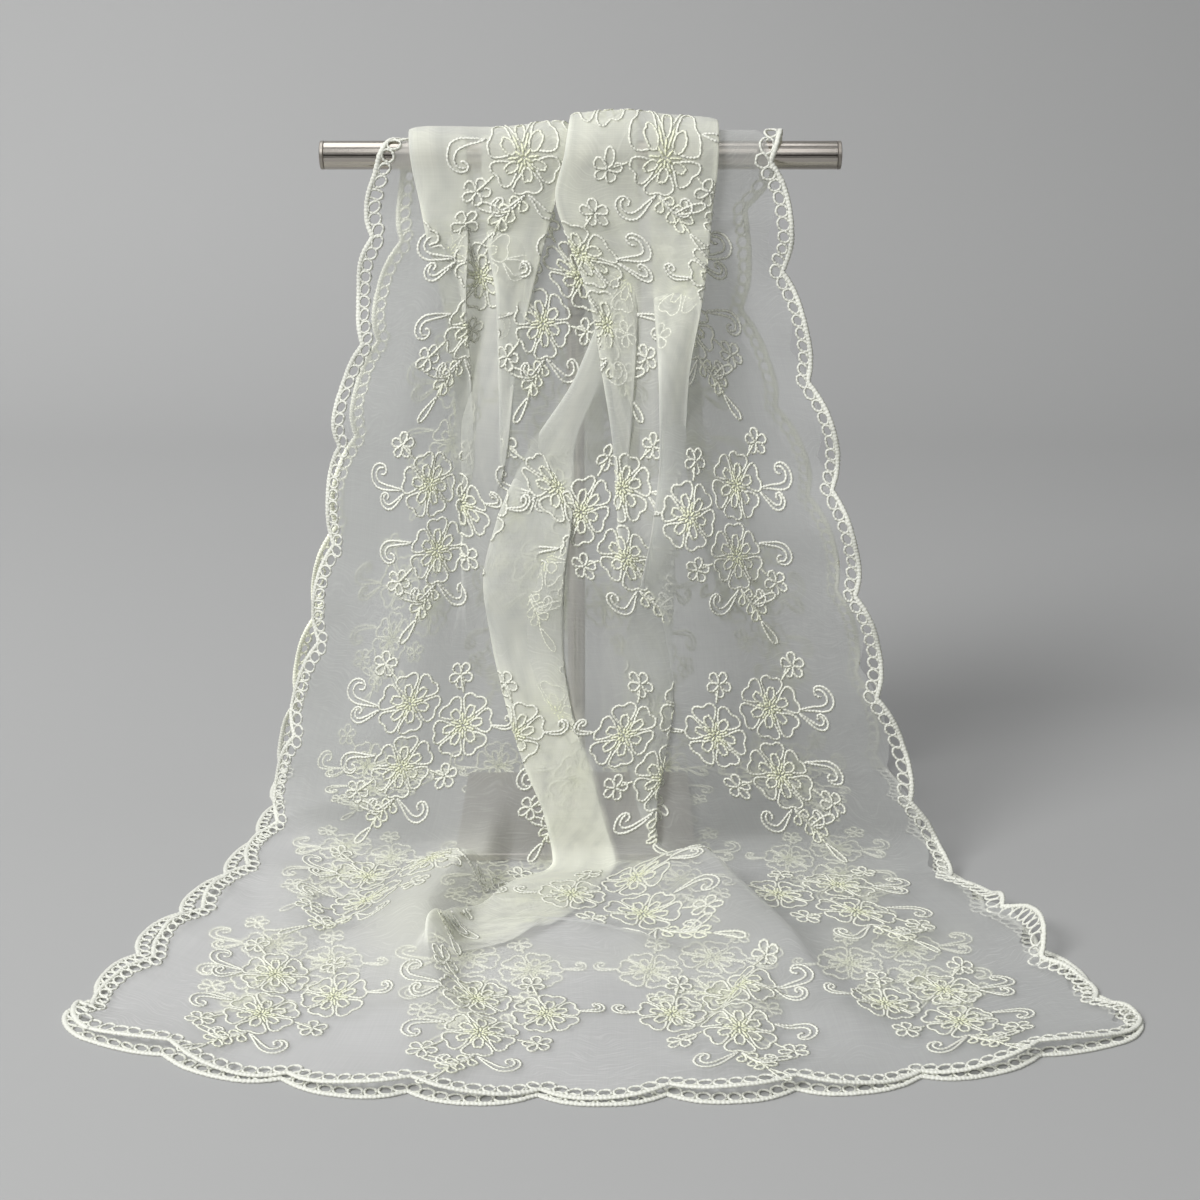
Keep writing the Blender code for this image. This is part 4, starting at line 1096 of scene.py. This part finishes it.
cordLook = {
    "thread": (0.775, 0.78, 0.715, 1),
    # painted shade: the edging's cord, the same thread painted darker because the hem faces up into the key
    # light
    "edging": (0.69, 0.695, 0.645, 1),
    "warm": (0.78, 0.80, 0.58, 1),  # of the flowers' hearts and rays, by each cord's tone
    "shade": (0.60, 0.605, 0.53, 1),  # between the turns of the twist
    "shadeDepth": 1.25,
    "behind": (0.97, 0.98, 0.84, 1),  # painted light: on the back half, paler, for the light that reaches it through the cloth before it
    "passes": 0.10,  # the share of the light that goes on through, how much it varies, and its colour
    "fuzzPasses": 0.1,
    "inside": (0.95, 0.97, 0.76, 1),
    "shadowGap": 0.55,  # the share of the light that gets past it
    "pitch": 0.00244,  # of the twist
    "bump": 0.8, "bumpDepth": 0.0004,
    "roughness": 0.62, "sheen": 0.2, "shine": 0.3,
}


def cordMaterial(name, thread):
    material, tree, shader = newMaterial(name)
    where = add(tree, "TexCoord").outputs["Object"]
    lay = add(tree, "Group", {"Run": keptValue(tree, "run"), "Pitch": cordLook["pitch"], "Where": where},
              node_tree=twist)
    # painted light: the cords on the back half are painted paler
    color = blendColors(tree, keptValue(tree, "behind"), thread, cordLook["behind"])
    color = blendColors(tree, keptValue(tree, "tone"), color, cordLook["warm"])
    dark = math2(tree, "MULTIPLY_ADD", lay.outputs["Height"], -cordLook["shadeDepth"], 1.0)
    color = blendColors(tree, dark, color, cordLook["shade"])
    feed(tree, shader, {
        "Base Color": color, "Normal": bumps(tree, lay.outputs["Height"], cordLook),
        "Roughness": cordLook["roughness"], "Sheen Weight": cordLook["sheen"],
        "Specular IOR Level": cordLook["shine"],
    })
    glow = add(tree, "BsdfTranslucent", {"Color": cordLook["inside"]})
    least = cordLook["passes"] - cordLook["fuzzPasses"] / 2
    passes = math2(tree, "MULTIPLY_ADD", lay.outputs["Fuzz"], cordLook["fuzzPasses"], least)
    whole = add(tree, "MixShader", {0: passes, 1: shader.outputs[0], 2: glow.outputs[0]})
    # light soaks past a thin fluffy cord, so it casts only part of a shadow
    clear = add(tree, "BsdfTransparent").outputs[0]
    faint = add(tree, "MixShader", {0: cordLook["shadowGap"], 1: whole.outputs[0], 2: clear}).outputs[0]
    cast = add(tree, "LightPath").outputs["Is Shadow Ray"]
    soft = add(tree, "MixShader", {0: cast, 1: whole.outputs[0], 2: faint})
    surface(tree, soft)
    return material


steelLook = {
    "bright": (0.58, 0.545, 0.50, 1),
    "dark": (0.30, 0.285, 0.26, 1),
    "dull": (0.50, 0.46, 0.41, 1),  # where either is stained
    "spread": 0.10,  # of the roughness, between one brush line and the next
    "bump": 0.12, "bumpDepth": 0.0001,
    # brush lines to a metre along X, Y and Z, colour, roughness, and the nodes of the frame that have it
    "finishes": {
        "brushedBar": ((40, 3200, 3200), "bright", 0.19, ("crossbar",)),
        "brushedPost": ((3200, 3200, 40), "bright", 0.19, ("lower_post", "upper_post")),
        "brushedPlate": ((40, 2600, 2600), "bright", 0.38, ("base_plate",)),
        "darkFittings": ((900, 900, 900), "dark", 0.40,
                         ("post_collar", "bar_socket", "bar_cap_left", "bar_cap_right")),
    },
}


def steelMaterial(name, stretch, tint, roughness):
    material, tree, shader = newMaterial(name)
    where = add(tree, "TexCoord").outputs["Object"]
    lines = add(tree, "Group", {"Where": where, "Stretch": stretch}, node_tree=brush)
    color = blendColors(tree, lines.outputs["Stain"], steelLook[tint], steelLook["dull"])
    rough = math2(tree, "MULTIPLY_ADD", math2(tree, "SUBTRACT", lines.outputs["Line"], 0.5),
                  steelLook["spread"], roughness)
    feed(tree, shader, {"Base Color": color, "Roughness": rough, "Metallic": 1.0,
                        "Normal": bumps(tree, lines.outputs["Line"], steelLook)})
    return material


organza = organzaMaterial()
cord = cordMaterial("ivoryCord", cordLook["thread"])
# painted shade: the same cord, painted darker for the edging
shadedEdgeCord = cordMaterial("edgingCord", cordLook["edging"])
print("stage 3: materials")


# Distance from an edge, drawn evenly in so that what was on the edge stands at the inset.
def drawnIn(away, inset):
    reach = edging["clothReach"]
    return reach - (reach - away) * (reach - inset) / reach


# The sheer cloth: the drape's own grid, drawn in at its edges under the scalloped edging. Both sides
# follow the left one's scallops.
def buildCloth():
    reach, width, front, back = edging["clothReach"], scarf["width"], scarf["front"], scarf["back"]
    u, w = uAt.copy(), wAt.copy()
    side = leftInset(w) + edging["clothInset"]
    u = np.where(u < reach, drawnIn(u, side), u)
    u = np.where(width - u < reach, width - drawnIn(width - u, side), u)
    hem = hemInset(u) + edging["clothInset"]
    w = np.where(front - w < reach, front - drawnIn(front - w, hem), w)
    w = np.where(w + back < reach, drawnIn(w + back, hem) - back, w)
    moved = (u != uAt) | (w != wAt)
    corners = points.copy()
    corners[moved] = onCloth(u[moved], w[moved])[0]
    rows, columns = u.shape
    piece = makePiece("scarfCloth", corners.reshape(-1, 3), [gridFaces(rows, columns)],
                      {"gather": gather, "press": pressed, "floorLightMask": floorLightMask}, organza)
    mapCorners(piece, "cut", np.stack([u.ravel(), w.ravel()], -1))
    return piece


# A cord along the scallops, and inside it a row of rings, each a circle pressed a little oval.
def buildEdging():
    edge = outline()
    cordLine = evenPoints(movedIn(edge, edging["cordInset"]), edging["cordStep"], closed=True)
    thick = layCords("edgingCord", [cordLine], True, edging["cordWidth"], edging["cordHeight"],
                     edging["cordLift"], shadedEdgeCord, 6, edging["cordBead"], paintedLightTo=edging["paintedLightTo"])
    centreLine = movedIn(edge, edging["ringInset"], reach=6)
    centres = evenPoints(centreLine, edging["ringPitch"], closed=True)
    random = np.random.default_rng(4)
    vary = random.normal(0, edging["ringVary"], (len(centres), 1))
    oval = random.normal(0, edging["ringOval"], (len(centres), 1))
    turn = random.uniform(0, math.pi, (len(centres), 1))
    angle = np.arange(edging["ringPoints"]) * 2 * math.pi / edging["ringPoints"]
    radius = edging["ringRadius"] * (1 + vary + oval * np.cos(2 * angle + turn))
    rings = centres[:, None] + radius[..., None] * np.stack([np.cos(angle), np.sin(angle)], -1)
    ringPiece = layCords("edgingRings", list(rings), True, edging["ringCord"],
                         edging["ringCord"] * edging["ringFlat"], edging["ringLift"], shadedEdgeCord, 4,
                         edging["ringBead"], paintedLightTo=edging["paintedLightTo"])
    return thick, ringPiece


# The same spray in every place, as one piece for each stretch.
def buildEmbroidery():
    lines = spray()
    pieces = []
    for name, (rows, top, columns) in embroidery["stretches"].items():
        placed = []
        for w in rows:
            for column in columns:
                for side in (-1, 1):
                    placed += placedSpray(lines, side * column, w, top)
        pieces.append(layCords(
            name, [line for line, _ in placed], False, embroidery["cordWidth"], embroidery["cordHeight"],
            embroidery["lift"], cord, 3, embroidery["bead"], tones=[tone for _, tone in placed],
        ))
    return pieces


clothPiece = buildCloth()
cordPiece, ringPiece = buildEdging()
sprays = buildEmbroidery()
print("stage 4: scarf", [(p.name, sum(len(f.vertices) - 2 for f in p.data.polygons))
                         for p in (clothPiece, cordPiece, ringPiece, *sprays)])

# the stand keeps the frame's own pieces, with brushed finishes
for name, (stretch, tint, roughness, nodes) in steelLook["finishes"].items():
    finish = steelMaterial(name, stretch, tint, roughness)
    for node in nodes:
        bpy.data.objects[node].material_slots[0].material = finish


studio = {
    "floor": (0.338, 0.339, 0.337, 1), "back": (0.395, 0.396, 0.394, 1),  # near, and 2 m behind
    "shadeToRight": 0.05,  # painted shade: how much darker it is painted for each metre to the right, where the light is weaker
    "sky": (0.80, 0.81, 0.82, 1), "skyStrength": 0.36,  # of the room well above the horizon
    "horizon": (0.10, 0.095, 0.09, 1),
    "skyFrom": 0.10, "skyAt": 0.34,  # sine of the height at which one turns into the other
    "backdrop": (0.95, 0.96, 0.95, 1),  # what the camera itself sees past the floor's edges
    "floorFront": -2.2, "halfWidth": 6, "top": 4.0,
    "sweepAt": 1.3, "sweepRadius": 1.2,  # where it bends up behind, and how wide
    "lights": {
        "key": {"at": (-2.6, -2.3, 3.0), "aim": (0.1, 0.1, 0.1), "size": (2.0, 2.0), "power": 216},
        "top": {"at": (-1.0, 0.5, 4.0), "aim": (-0.3, 0.5, 0.0), "size": (3.2, 3.2), "power": 50},
        "front": {"at": (0.0, -2.3, 2.5), "aim": (0.0, 0.0, 0.5), "size": (1.0, 2.8), "power": 11},
    },
    "camera": {"at": (0.017, -1.375, 0.582), "down": 16.7, "lens": 60},  # degrees below level, mm
    "layers": 48,  # of see-through cloth and cords that light may pass
}


# A sheet that is flat under the scarf and sweeps up behind it in a quarter circle.
def buildFloor():
    start, bend = studio["sweepAt"], studio["sweepRadius"]
    turn = np.linspace(0, math.pi / 2, 24)
    y = np.concatenate([[studio["floorFront"], -1.0, 0.0], start + bend * np.sin(turn), [start + bend] * 3])
    z = np.concatenate([[0, 0, 0], bend * (1 - np.cos(turn)), [bend + 0.4, bend + 1.2, studio["top"]]])
    x = np.linspace(-studio["halfWidth"], studio["halfWidth"], 10)
    corners = np.stack(np.broadcast_arrays(x[None, :], y[:, None], z[:, None]), -1)
    material, tree, shader = newMaterial("paleSweep")
    where = add(tree, "TexCoord").outputs["Object"]
    cloud = add(tree, "TexNoise", {"Vector": where, "Scale": 1.3, "Detail": 2.0})
    apart = add(tree, "SeparateXYZ", {0: where})
    deep = add(tree, "MapRange", {"Value": apart.outputs[1], "From Min": 0.0, "From Max": 2.0})
    color = blendColors(tree, deep.outputs[0], studio["floor"], studio["back"])
    cloud = add(tree, "MapRange", {"Value": cloud.outputs[0], "To Min": 0.975, "To Max": 0.995})
    # painted shade: darker to the right
    tone = math2(tree, "MULTIPLY_ADD", apart.outputs[0], -studio["shadeToRight"], cloud.outputs[0])
    toned = add(tree, "VectorMath", {0: color, "Scale": tone}, operation="SCALE")
    feed(tree, shader, {"Base Color": toned.outputs[0], "Roughness": 0.9, "Specular IOR Level": 0.1})
    floor = makePiece("floor", corners.reshape(-1, 3), [gridFaces(len(y), len(x))], None, material)


def aimed(thing, at, aim):
    thing.location = at
    thing.rotation_euler = (Vector(aim) - Vector(at)).to_track_quat("-Z", "Y").to_euler()


def buildLights():
    for name, values in studio["lights"].items():
        light = bpy.data.lights.new(name + "Light", "AREA")
        light.shape, light.energy = "ELLIPSE", values["power"]
        light.size, light.size_y = values["size"]
        lamp = bpy.data.objects.new(name + "Light", light)
        scene.collection.objects.link(lamp)
        aimed(lamp, values["at"], values["aim"])
    world = bpy.data.worlds.new("studio")
    scene.world = world
    world.use_nodes = True
    tree = world.node_tree
    height = add(tree, "SeparateXYZ", {0: add(tree, "TexCoord").outputs["Generated"]}).outputs[2]
    above = add(tree, "MapRange", {"Value": height, "From Min": studio["skyFrom"],
                                   "From Max": studio["skyAt"]})
    room = blendColors(tree, above.outputs[0], studio["horizon"], studio["sky"])
    seen = add(tree, "LightPath").outputs["Is Camera Ray"]
    feed(tree, tree.nodes["Background"], {"Color": blendColors(tree, seen, room, studio["backdrop"]),
                                          "Strength": studio["skyStrength"]})


def buildCamera():
    values = studio["camera"]
    lens = bpy.data.cameras.new("camera")
    lens.lens, lens.sensor_width = values["lens"], 36
    camera = bpy.data.objects.new("camera", lens)
    scene.collection.objects.link(camera)
    camera.location = values["at"]
    camera.rotation_euler = (math.radians(90 - values["down"]), 0, 0)
    scene.camera = camera


buildFloor()
buildLights()
buildCamera()
scene.cycles.transparent_max_bounces = studio["layers"]
scene.view_settings.view_transform = "Standard"
print("stage 5: studio")

clothNodes = ("scarf_over_bar", "scarf_front_fall", "scarf_front_spread", "scarf_back_fall",
              "scarf_under_spread")
edgingNodes = ("edging_front_left", "edging_front_right", "edging_front_end", "edging_back_left",
               "edging_back_right", "edging_back_end")
for piece in (clothPiece, cordPiece, ringPiece, *sprays):
    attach(piece, "root")
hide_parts(*clothNodes)
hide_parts(*edgingNodes)
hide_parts(*edgingNodes)
